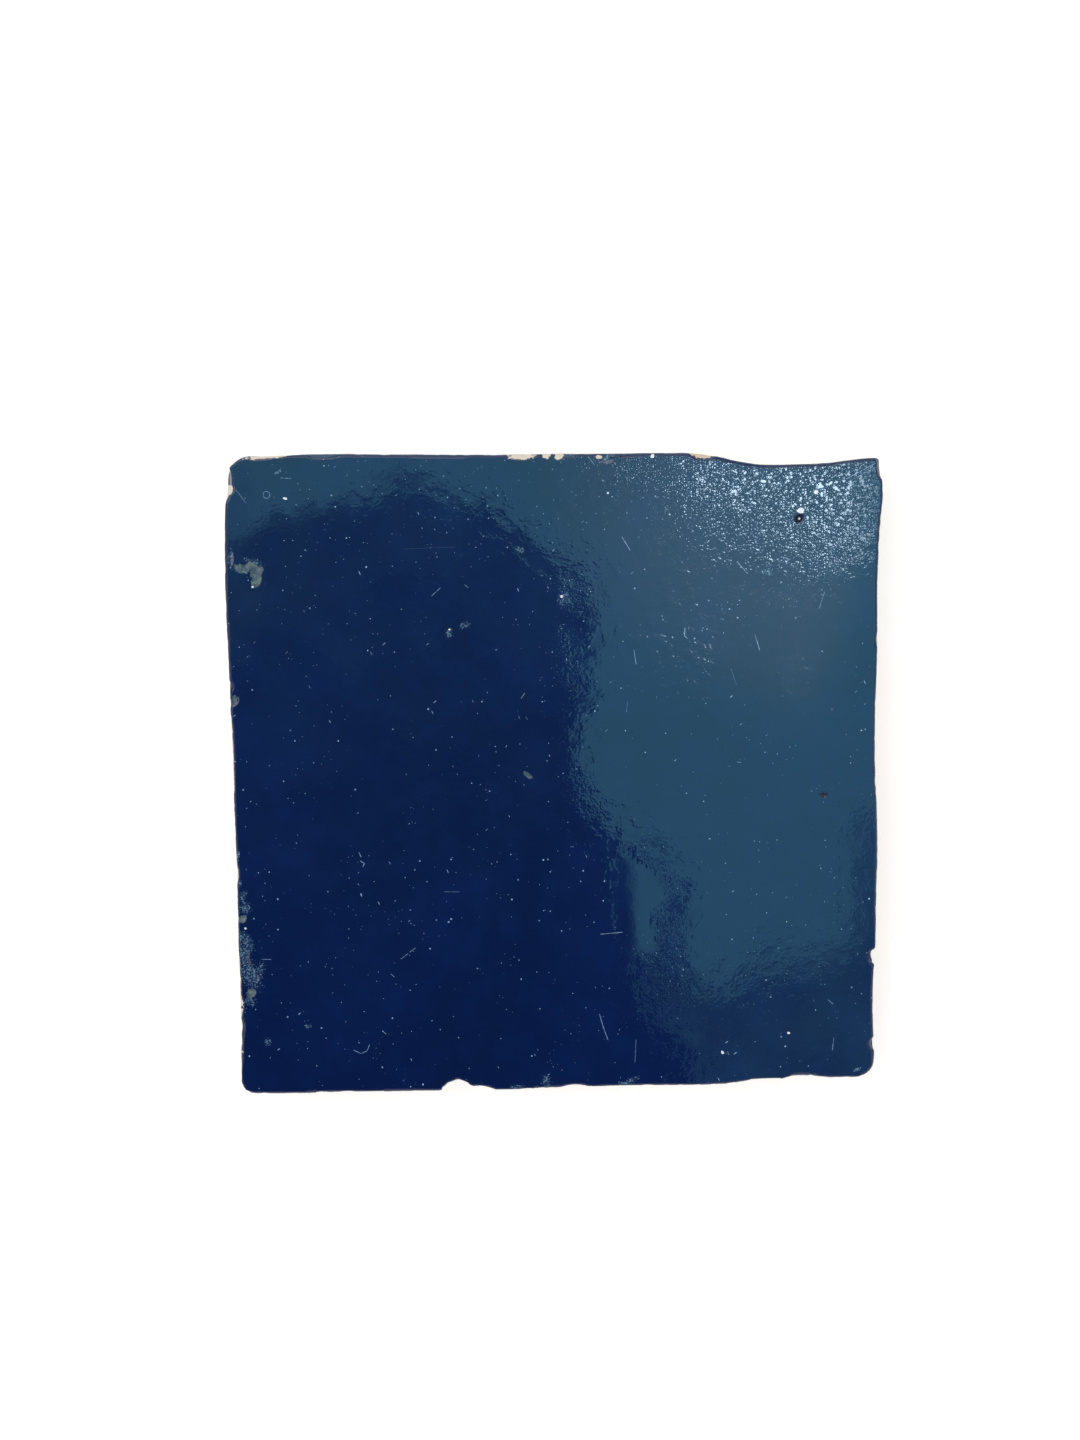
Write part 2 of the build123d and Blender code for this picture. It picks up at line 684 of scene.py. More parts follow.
@dataclass(frozen=True)
class Clay:
    """The bare fired clay of the back, the sides and the chips."""

    pale: Colour = linear(231, 225, 210)
    warm: Colour = linear(222, 198, 180)
    fleck: Colour = linear(118, 92, 74)
    roughness: float = 0.85
    blotches: Mottle = Mottle(16 * MM, 0.45, 0.72, detail=3.0)
    freckles: Mottle = Mottle(1.1 * MM, 0.3, 0.75, last=0.35, detail=4.0)
    flecks: Mottle = Mottle(0.8 * MM, 0.7, 0.76, last=0.8)
    pinholes: Scatter = Scatter(4.0 * MM, 0.28 * MM, 0.8)
    grain: Relief = Relief(0.3 * MM, 0.045 * MM, detail=3.0, roughness=0.65)


@dataclass(frozen=True)
class Scratch:
    """One fine scratch, between two picture points."""

    start_px: tuple[float, float]
    end_px: tuple[float, float]
    width: float = 0.075 * MM
    tone: float = 0.45


class WearAndPaintedLight(Enum):
    """What has happened to the glaze at a mark, or what light is painted there: one kind paints a white
    highlight, and the pit kind is a real pit whose dark colour is painted shade.

    Each kind has the name of its share on the mesh, the size of the grain that breaks up its border, in
    metres, and how far that grain moves the border.
    """

    BARE = ("bare", 0.5 * MM, 0.7)
    FLAKE = ("flake", 0.45 * MM, 0.7)
    SCUFF = ("scuff", 0.2 * MM, 2.6)
    # A painted highlight: a white spot standing in for a glint of light.
    GLINT = ("painted_highlight", 0.5 * MM, 0.4)
    # A real sunk pit, whose dark colour is painted shade.
    PIT = ("pit", 0.5 * MM, 0.3)

    def __init__(self, title: str, grain: float, ragged: float) -> None:
        """Keeps what the line of the kind says.

        Args:
            title: The name of its share on the mesh.
            grain: The size of its border's grain, in metres.
            ragged: How far the grain moves the border.
        """
        self.title = title
        self.grain = grain
        self.ragged = ragged


@dataclass(frozen=True)
class Mark:
    """One worn, chipped or blistered place, a painted highlight or a sunk pit with painted shade, as an
    ellipse of picture points.

    turn is how far its length is turned up from the right, in degrees, and sunk is its depth.
    """

    wear: WearAndPaintedLight
    x_px: float
    y_px: float
    length_px: float
    width_px: float
    turn: float = 0.0
    sunk: float = 0.0

    def closeness(self, picture: np.ndarray) -> np.ndarray:
        """How near picture points are to the middle of the mark.

        Args:
            picture: One picture point a row.

        Returns:
            1 in the middle, 0.5 on the mark's edge and 0 from twice as far out.
        """
        turn = math.radians(self.turn)
        right = picture[:, 0] - self.x_px
        up = self.y_px - picture[:, 1]
        along = right * math.cos(turn) + up * math.sin(turn)
        across = up * math.cos(turn) - right * math.sin(turn)
        reach = np.hypot(along / (self.length_px / 2), across / (self.width_px / 2))
        return np.clip(1 - reach / 2, 0.0, 1.0)


@dataclass(frozen=True)
class TileFinish:
    """The tile's one material: glaze on the face and bare clay where the glaze ends or is gone.

    border and presence are the levels of a kind of wear's share between which its ragged border lies, and
    between which it starts to show at all. scratch_raggedness is what a scratch's width gains from the
    noise along it, and what is then added.
    """

    face: GlazedFace
    viewpoint: Viewpoint
    glaze: Glaze = Glaze()
    clay: Clay = Clay()
    border: tuple[float, float] = (0.44, 0.56)
    presence: tuple[float, float] = (0.02, 0.2)
    scratch_edge: tuple[float, float] = (1.0, 0.3)
    scratch_grain: float = 0.5 * MM
    scratch_raggedness: tuple[float, float] = (2.0, -0.25)
    scratches: tuple[Scratch, ...] = (
        Scratch((622, 537), (630, 550), tone=0.7),
        Scratch((634, 650), (636, 664), tone=0.6),
        Scratch((685, 628), (684.6, 636), tone=0.8),
        Scratch((684.6, 636), (687.5, 638.6), tone=0.8),
        Scratch((431.7, 595.8), (440.3, 588)),
        Scratch((464.4, 584.7), (468.7, 588)),
        Scratch((404, 549), (455, 547), tone=0.06),
        Scratch((600.8, 934.2), (622.5, 932.2), tone=0.6),
        Scratch((599.5, 1014), (603.2, 1027), tone=0.6),
        Scratch((603.2, 1027), (608, 1040), tone=0.6),
        Scratch((737, 561.5), (747.6, 573.6), tone=0.6),
        Scratch((824.6, 592), (819.3, 608.4)),
        Scratch((755, 635), (759.7, 650), tone=0.7),
        Scratch((833.8, 1038), (832.4, 1050)),
        Scratch((828.4, 1000), (833, 1004)),
        Scratch((262.5, 959.5), (271, 959.5)),
        Scratch((588.4, 457), (594.5, 465)),
        Scratch((636, 1040), (635, 1062), tone=0.3),
        Scratch((876, 463), (846, 479), tone=0.6),
        Scratch((874, 468), (850, 481), tone=0.4),
        Scratch((521.3, 698.3), (524.7, 693), tone=0.5),
        Scratch((263.2, 493), (265.8, 491.2), tone=0.5),
        Scratch((265.8, 491.2), (269.2, 492.4), tone=0.5),
        Scratch((269.2, 492.4), (270, 496), tone=0.5),
        Scratch((270, 496), (267.5, 498.6), tone=0.4),
        Scratch((267.5, 498.6), (264, 497.6), tone=0.5),
        Scratch((264, 497.6), (263.2, 493), tone=0.4),
        Scratch((236, 490), (246, 503), tone=0.3),
        Scratch((281, 478), (291, 478.5), tone=0.5),
        Scratch((359, 852.5), (361, 857), tone=0.6),
        Scratch((360.5, 861), (364.5, 863.5), tone=0.8),
        Scratch((364.5, 863.5), (363, 866.5), tone=0.7),
        Scratch((353.5, 1050), (361, 1053.5), tone=0.5),
        Scratch((361, 1053.5), (367, 1051), tone=0.5),
        Scratch((367, 1051), (369.5, 1045), tone=0.5),
        Scratch((382.5, 1031), (386, 1034), tone=0.8),
        Scratch((444.5, 891.7), (459, 891.9), tone=0.25),
        Scratch((401, 959), (408, 953.5), tone=0.4),
        Scratch((410, 952), (415.5, 948), tone=0.4),
        Scratch((391, 974), (394.5, 977), tone=0.6),
        Scratch((626.5, 712), (627.5, 702), tone=0.25),
        Scratch((731, 669), (736.5, 685), tone=0.2),
        Scratch((737, 762), (741, 762.4), tone=0.5),
        # The last six are pale dots, not scratches: painted highlights.
        Scratch((709.4, 838.8), (709.9, 838.8), 0.16 * MM, 0.9),
        Scratch((597.7, 705.7), (598, 705.7), 0.13 * MM, 0.7),
        Scratch((620.7, 688), (621.3, 688.2), 0.13 * MM, 0.7),
        Scratch((361, 894), (361.5, 896), 0.18 * MM, 0.8),
        Scratch((419.6, 861), (420, 861), 0.15 * MM, 0.8),
        Scratch((448, 922.2), (449, 922), 0.16 * MM, 0.8),
    )

    def make(self) -> bpy.types.Material:
        """Builds the material's nodes.

        Returns:
            The material.
        """
        material, wiring = start_material(SLOT)
        place = wiring.add("ShaderNodeTexCoord").outputs["Object"]
        # The wear, the painted highlights and the painted shade of the pits.
        worn = {wear: self.coverage(wiring, place, wear) for wear in WearAndPaintedLight}
        matt = self.mattness(wiring, worn)
        shader = wiring.add(
            "ShaderNodeBsdfPrincipled",
            Base_Color=self.colour_with_wear_and_painted_light(wiring, place, worn),
            Roughness=wiring.step(matt, 0.0, 1.0, self.glaze.roughness, self.clay.roughness),
            Normal=self.relief(wiring, place, worn[WearAndPaintedLight.BARE]),
            IOR=self.glaze.refraction,
        )
        wiring.finish(shader)
        return material

    def coverage(self, wiring: Wiring, place: Socket, wear: WearAndPaintedLight) -> Socket:
        """Where one kind of mark shows, wear or painted light: its share on the mesh, with its border broken
        up by noise.

        Args:
            wiring: The material's nodes.
            place: The socket that holds the place.
            wear: The kind of mark: wear, a painted highlight or a pit with painted shade.

        Returns:
            A socket that is 0 off the mark and 1 on it.
        """
        marked = wiring.attribute(wear.title)
        noise_share = wiring.maths("SUBTRACT", wiring.cloud(place, wear.grain, detail=3.0), NOISE_MIDDLE)
        broken = wiring.maths("MULTIPLY_ADD", noise_share, wear.ragged, marked)
        shown = wiring.step(broken, *self.border)
        present = wiring.step(marked, *self.presence)
        return wiring.maths("MULTIPLY", shown, present)

    def colour_with_wear_and_painted_light(self, wiring: Wiring, place: Socket, worn: dict[WearAndPaintedLight, Socket]) -> Socket:
        """The glaze's colour with its specks, scratches and wear, its painted highlights and the painted
        shade of its pits, and the clay's where it is bare.

        Args:
            wiring: The material's nodes.
            place: The socket that holds the place.
            worn: Where each kind of wear shows.

        Returns:
            The colour's socket.
        """
        glaze = self.glaze
        # Pale specks, partly painted highlights.
        colour = wiring.mix(self.specks_with_painted_shine(wiring, place), self.glaze_colour(wiring, place), glaze.speck_with_painted_shine)
        colour = wiring.mix(self.scratched(wiring, place), colour, glaze.speck_with_painted_shine)
        scuffed = wiring.maths("MULTIPLY", worn[WearAndPaintedLight.SCUFF], wiring.mottled(place, glaze.scuff_tone))
        colour = wiring.mix(scuffed, colour, glaze.scuff)
        flaked = wiring.mix(wiring.mottled(place, glaze.flake_tone), glaze.flake_dark, glaze.flake_light)
        colour = wiring.mix(wiring.maths("MULTIPLY", worn[WearAndPaintedLight.FLAKE], glaze.flake_cover), colour, flaked)
        # Painted shade inside the pits.
        colour = wiring.mix(worn[WearAndPaintedLight.PIT], colour, glaze.pit)
        # Painted highlights.
        colour = wiring.mix(worn[WearAndPaintedLight.GLINT], colour, glaze.painted_highlight)
        return wiring.mix(worn[WearAndPaintedLight.BARE], colour, self.clay_colour(wiring, place))

    def mattness(self, wiring: Wiring, worn: dict[WearAndPaintedLight, Socket]) -> Socket:
        """How matt the surface is, from 0 on sound glaze to 1 on bare clay.

        Args:
            wiring: The material's nodes.
            worn: Where each kind of wear shows.

        Returns:
            The mattness's socket.
        """
        flake = wiring.maths("MULTIPLY", worn[WearAndPaintedLight.FLAKE], self.glaze.flake_matt)
        scuff = wiring.maths("MULTIPLY", worn[WearAndPaintedLight.SCUFF], self.glaze.scuff_matt)
        return wiring.maths("MAXIMUM", wiring.maths("MAXIMUM", worn[WearAndPaintedLight.BARE], flake), scuff)

    def dots(self, wiring: Wiring, place: Socket, scatter: Scatter, crowd: Socket | None = None) -> Socket:
        """Round dots, scattered over the surface.

        Args:
            wiring: The material's nodes.
            place: The socket that holds the place.
            scatter: How the dots are scattered.
            crowd: The noise that crowds them, if any.

        Returns:
            A socket with each dot's own brightness, and 0 between the dots.
        """
        distance, chance = wiring.cells(place, scatter.cell)
        rarity = scatter.rarity
        if crowd is not None:
            rarity = wiring.step(crowd, *scatter.crowding, scatter.rarity, scatter.crowded_rarity)
        there = wiring.maths("GREATER_THAN", chance.outputs["Blue"], rarity)
        largest = scatter.radius / scatter.cell
        smallest = scatter.smallest * largest
        size = wiring.maths("MULTIPLY", chance.outputs["Green"], chance.outputs["Green"])
        size = wiring.maths("MULTIPLY_ADD", size, largest - smallest, smallest)
        dot = wiring.step(wiring.maths("DIVIDE", distance, size), *scatter.edge)
        dim = scatter.dimmest * scatter.strength
        bright = wiring.maths("POWER", chance.outputs["Red"], scatter.unevenness)
        bright = wiring.maths("MULTIPLY_ADD", bright, scatter.strength - dim, dim)
        return wiring.maths("MULTIPLY", wiring.maths("MULTIPLY", dot, there), bright)

    def specks_with_painted_shine(self, wiring: Wiring, place: Socket) -> Socket:
        """Pale pinholes, grit and hairs in the glaze, thicker in some places than in others, their paleness
        partly painted highlight.

        Args:
            wiring: The material's nodes.
            place: The socket that holds the place.

        Returns:
            A socket that is above 0 on a speck.
        """
        glaze = self.glaze
        crowd = wiring.cloud(place, glaze.crowd_size, detail=3.0, roughness=0.6)
        crowd = wiring.maths("MULTIPLY_ADD", wiring.attribute("grit"), glaze.grit_crowding, crowd)
        total = self.dots(wiring, place, glaze.specks_with_painted_shine, crowd)
        total = wiring.maths("MAXIMUM", total, self.dots(wiring, place, glaze.dust, crowd))
        for turn in glaze.hair_turns:
            total = wiring.maths("MAXIMUM", total, self.hairs(wiring, place, turn))
        return total

    def hairs(self, wiring: Wiring, place: Socket, turn: float) -> Socket:
        """Short straight hairs, scattered over the face.

        Args:
            wiring: The material's nodes.
            place: The socket that holds the place.
            turn: Which way they lie, in degrees.

        Returns:
            A socket that is above 0 on a hair.
        """
        turned = wiring.add(
            "ShaderNodeMapping",
            {"vector_type": "TEXTURE"},
            Vector=place,
            Rotation=(0.0, 0.0, math.radians(turn)),
            Scale=(1.0, self.glaze.hair_stretch, 1.0),
        )
        return self.dots(wiring, turned.outputs[0], self.glaze.hairs)

    def scratch_group(self) -> bpy.types.NodeTree:
        """The nodes of one scratch, which each scratch uses with its own ends.

        Returns:
            The node group.
        """
        group = bpy.data.node_groups.new("scratch", "ShaderNodeTree")
        for name in ("Place", "Start", "End"):
            group.interface.new_socket(name, in_out="INPUT", socket_type="NodeSocketVector")
        for name in ("Width", "Raggedness"):
            group.interface.new_socket(name, in_out="INPUT", socket_type="NodeSocketFloat")
        group.interface.new_socket("Mark", in_out="OUTPUT", socket_type="NodeSocketFloat")
        wiring = Wiring(group)
        given = wiring.add("NodeGroupInput").outputs
        from_start = wiring.vectors("SUBTRACT", given["Place"], given["Start"])
        whole = wiring.vectors("SUBTRACT", given["End"], given["Start"])
        reached = wiring.vectors("DOT_PRODUCT", from_start, whole)
        full = wiring.vectors("DOT_PRODUCT", whole, whole)
        share = wiring.maths("DIVIDE", reached, full, clamp=True)
        nearest = wiring.add("ShaderNodeVectorMath", {"operation": "SCALE"}, Vector=whole, Scale=share)
        apart = wiring.vectors("DISTANCE", from_start, nearest.outputs["Vector"])
        width = wiring.maths("MULTIPLY", given["Width"], given["Raggedness"])
        mark = wiring.step(wiring.maths("DIVIDE", apart, width), *self.scratch_edge)
        wiring.add("NodeGroupOutput", Mark=mark)
        return group

    def scratched(self, wiring: Wiring, place: Socket) -> Socket:
        """All the scratches together, with the pale dots that are painted highlights.

        Args:
            wiring: The material's nodes.
            place: The socket that holds the place.

        Returns:
            A socket that is above 0 on a scratch.
        """
        group = self.scratch_group()
        flat = wiring.vectors("MULTIPLY", place, FLAT)
        grain = wiring.cloud(place, self.scratch_grain)
        raggedness = wiring.maths("MULTIPLY_ADD", grain, *self.scratch_raggedness)
        total = None
        for scratch in self.scratches:
            ends_px = np.array((scratch.start_px, scratch.end_px), dtype=float)
            start, end = self.viewpoint.on_face(self.face, ends_px)
            node = wiring.add(
                "ShaderNodeGroup",
                {"node_tree": group},
                Place=flat,
                Start=(start[0], start[1], 0.0),
                End=(end[0], end[1], 0.0),
                Width=scratch.width,
                Raggedness=raggedness,
            )
            toned = wiring.maths("MULTIPLY", node.outputs["Mark"], scratch.tone)
            total = toned if total is None else wiring.maths("MAXIMUM", total, toned)
        return total

    def glaze_colour(self, wiring: Wiring, place: Socket) -> Socket:
        """The cobalt, a little paler in clouds and where it breaks thin over the arris.

        Args:
            wiring: The material's nodes.
            place: The socket that holds the place.

        Returns:
            The colour's socket.
        """
        broad = wiring.mottled(place, self.glaze.broad_clouds)
        share = wiring.maths("ADD", broad, wiring.mottled(place, self.glaze.fine_clouds), clamp=True)
        ground = wiring.mix(share, self.glaze.deep, self.glaze.pale)
        return wiring.mix(wiring.attribute("thin"), ground, self.glaze.thin)

    def clay_colour(self, wiring: Wiring, place: Socket) -> Socket:
        """The clay, warmer in blotches, flecked, and darker in pinholes.

        Args:
            wiring: The material's nodes.
            place: The socket that holds the place.

        Returns:
            The colour's socket.
        """
        clay = self.clay
        ground = wiring.mix(wiring.mottled(place, clay.blotches), clay.pale, clay.warm)
        ground = wiring.mix(wiring.mottled(place, clay.freckles), ground, clay.warm)
        ground = wiring.mix(wiring.mottled(place, clay.flecks), ground, clay.fleck)
        return wiring.mix(self.dots(wiring, place, clay.pinholes), ground, clay.fleck)

    def pebbles(self, wiring: Wiring, place: Socket) -> Socket:
        """Low domes packed side by side, of uneven heights, as a fine orange peel.

        Args:
            wiring: The material's nodes.
            place: The socket that holds the place.

        Returns:
            The height's socket, in metres.
        """
        distance, chance = wiring.cells(place, self.glaze.pebble_size)
        fall = wiring.maths("MULTIPLY", distance, distance)
        strength = wiring.maths("MULTIPLY", chance.outputs["Red"], wiring.attribute("pebble"))
        return wiring.maths("MULTIPLY", wiring.maths("MULTIPLY", fall, strength), -self.glaze.pebble_height)

    def relief(self, wiring: Wiring, place: Socket, bare: Socket) -> Socket:
        """The fine relief: orange peel in rougher and smoother patches, ripples, and the clay's grain.

        Args:
            wiring: The material's nodes.
            place: The socket that holds the place.
            bare: How bare the clay is.

        Returns:
            The bumped normal's socket.
        """
        strength = wiring.attribute("peel")
        patchy = wiring.maths("MULTIPLY", strength, wiring.mottled(place, self.glaze.peel_patches))
        peel = wiring.maths("MULTIPLY", wiring.raised(place, self.glaze.peel), patchy)
        peel = wiring.maths("ADD", peel, self.pebbles(wiring, place))
        calm = wiring.maths("MINIMUM", strength, 1.0)
        glazed = wiring.maths("MULTIPLY_ADD", wiring.raised(place, self.glaze.ripple), calm, peel)
        bare_grain = wiring.maths("MULTIPLY", wiring.raised(place, self.clay.grain), bare)
        glaze_share = wiring.maths("SUBTRACT", 1.0, bare)
        height = wiring.maths("MULTIPLY_ADD", glazed, glaze_share, bare_grain)
        return wiring.add("ShaderNodeBump", Strength=1.0, Distance=1.0, Height=height).outputs[0]


@dataclass(frozen=True)
class Unevenness:
    """How deep a hammered surface is worn, in metres, and its even, broad and fine shares of that."""

    depth: float
    even: float
    broad: float
    fine: float

    def worn(self, broad: np.ndarray, fine: np.ndarray) -> np.ndarray:
        """The worn depth at each point, in metres, from a broad and a fine noise."""
        return self.depth * (self.even + self.broad * broad + self.fine * fine)


@dataclass(frozen=True)
class Points:
    """The tile's points, one a row, and what their wear depends on.

    places and drop are in metres. drop is how far each point lies below the face's own waves, and
    picture is where each shows in the picture.
    """

    places: np.ndarray
    normals: np.ndarray
    drop: np.ndarray
    picture: np.ndarray


@dataclass
class Tile:
    """The tile itself: a finer copy of the solid, with its wear and relief.

    Each refinement halves the squares of the mesh within a distance of the arris, in metres, and within a
    margin round each mark, in picture points. Where a field's name speaks of a drop, it is how far below
    the face's own waves something happens, in metres.
    """

    face: GlazedFace
    viewpoint: Viewpoint
    finish: TileFinish
    coarse_step: float = 0.7 * MM
    merged_within: float = 0.001 * MM
    refinements: tuple[tuple[float, float], ...] = ((2.0 * MM, 6.0), (0.8 * MM, 2.0))
    rim_drop: tuple[float, float] = (0.1 * MM, 0.8 * MM)
    refined_drop: float = 1.0 * MM
    marked_drop: float = 1.5 * MM
    off_face_drop: Ramp = Ramp(0.03 * MM, 0.06 * MM)

    side: Unevenness = Unevenness(0.16 * MM, even=0.5, broad=0.6, fine=0.35)
    side_drop: Ramp = Ramp(0.5 * MM, 1.5 * MM)
    upright: Ramp = Ramp(0.95, 0.6)
    back: Unevenness = Unevenness(0.12 * MM, even=0.5, broad=0.5, fine=0.2)
    downward: Ramp = Ramp(-0.6, -0.95)
    back_swell: Rolling = Rolling(11 * MM, 4.0)
    hammering: Rolling = Rolling(3.2 * MM, 1.0)
    pocks: Rolling = Rolling(0.9 * MM, 2.0)

    nibble: float = 0.17 * MM
    nibbled_drop: Band = Band(Ramp(0.02 * MM, 0.2 * MM), Ramp(1.4 * MM, 0.5 * MM))
    bites: Rolling = Rolling(1.7 * MM, 3.0)
    bites_above: float = 0.1
    pocks_above: float = 0.25
    pock_share: float = 0.6

    sunk_drop: Ramp = Ramp(1.2 * MM, 0.6 * MM)
    sunk_border: Ramp = Ramp(0.35, 0.75)
    sunk_raggedness: float = 0.15

    glaze_reach: float = 0.6 * MM
    reach_swell: Rolling = Rolling(6 * MM, 5.0)
    reach_swell_share: float = 0.5
    reach_ripple: Rolling = Rolling(1.5 * MM, 6.0)
    reach_ripple_share: float = 0.35
    drip: float = 1.8 * MM
    drips: Rolling = Rolling(7 * MM, 7.0)
    drip_border: Ramp = Ramp(0.25, 0.5)
    worn_edge: Zone = Zone((Ramp(262.0, 252.0),), (Ramp(690.0, 720.0), Ramp(1010.0, 990.0)))
    worn_edge_loss: float = 0.7
    rear_edge: Zone = Zone(down=(Ramp(468.0, 460.0),))
    rear_edge_gain: float = 1.6 * MM
    glazed_dents: tuple[Oval, ...] = (
        Oval(470.0, 1088.0, 46.0, 46.0),
        Oval(566.0, 1088.0, 26.0, 26.0),
        Oval(874.0, 956.0, 14.0, 14.0),
        Oval(874.0, 1044.0, 12.0, 12.0),
        Oval(238.0, 468.0, 22.0, 22.0),
    )
    dent_border: Ramp = Ramp(1.0, 0.7)
    dent_gain: float = 6 * MM
    glaze_end: Ramp = Ramp(-0.15 * MM, 0.15 * MM)
    under_tile: Ramp = Ramp(0.0, -0.3)

    thin_drop: Band = Band(Ramp(0.01 * MM, 0.1 * MM), Ramp(1.2 * MM, 0.6 * MM))
    thin_zones: tuple[Zone, ...] = (
        Zone(down=(Ramp(500.0, 470.0),)),
        Zone((Ramp(850.0, 865.0),), (Ramp(980.0, 880.0),)),
    )
    least_thin: float = 0.2

    smooth: Oval = Oval(638.0, 903.0, 24.0, 62.0)
    smooth_border: Ramp = Ramp(1.3, 0.8)
    smooth_loss: float = 0.85
    right_of_left: Zone = Zone((Ramp(330.0, 460.0),))
    left_peel: float = 0.45
    haze: Zone = Zone((Ramp(690.0, 740.0),), (Ramp(560.0, 595.0), Ramp(800.0, 720.0)))
    haze_loss: float = 0.65

    pebbled: tuple[Oval, ...] = (Oval(805.0, 440.0, 240.0, 185.0), Oval(680.0, 435.0, 165.0, 105.0))
    pebbled_border: Ramp = Ramp(1.0, 0.2)
    left_of_right: Zone = Zone((Ramp(880.0, 840.0),))
    right_pebbles: float = 0.5
    gritty: Zone = Zone((Ramp(240.0, 360.0), Ramp(700.0, 620.0)), (Ramp(600.0, 480.0),))

    pitting: float = 2.6
    pit_pebbles: float = 0.6
    pitted_border: Ramp = Ramp(0.3, 0.7)
    pitted: tuple[Mark, ...] = (
        Mark(WearAndPaintedLight.SCUFF, 650, 857, 40, 14, -35),
        Mark(WearAndPaintedLight.SCUFF, 672, 885, 50, 15, -60),
        Mark(WearAndPaintedLight.SCUFF, 672, 935, 60, 30, -70),
        Mark(WearAndPaintedLight.SCUFF, 664, 985, 66, 48, -70),
        Mark(WearAndPaintedLight.SCUFF, 575, 590, 46, 30, -60),
        Mark(WearAndPaintedLight.SCUFF, 568, 660, 70, 30, -80),
        Mark(WearAndPaintedLight.SCUFF, 585, 790, 60, 22, -60),
    )
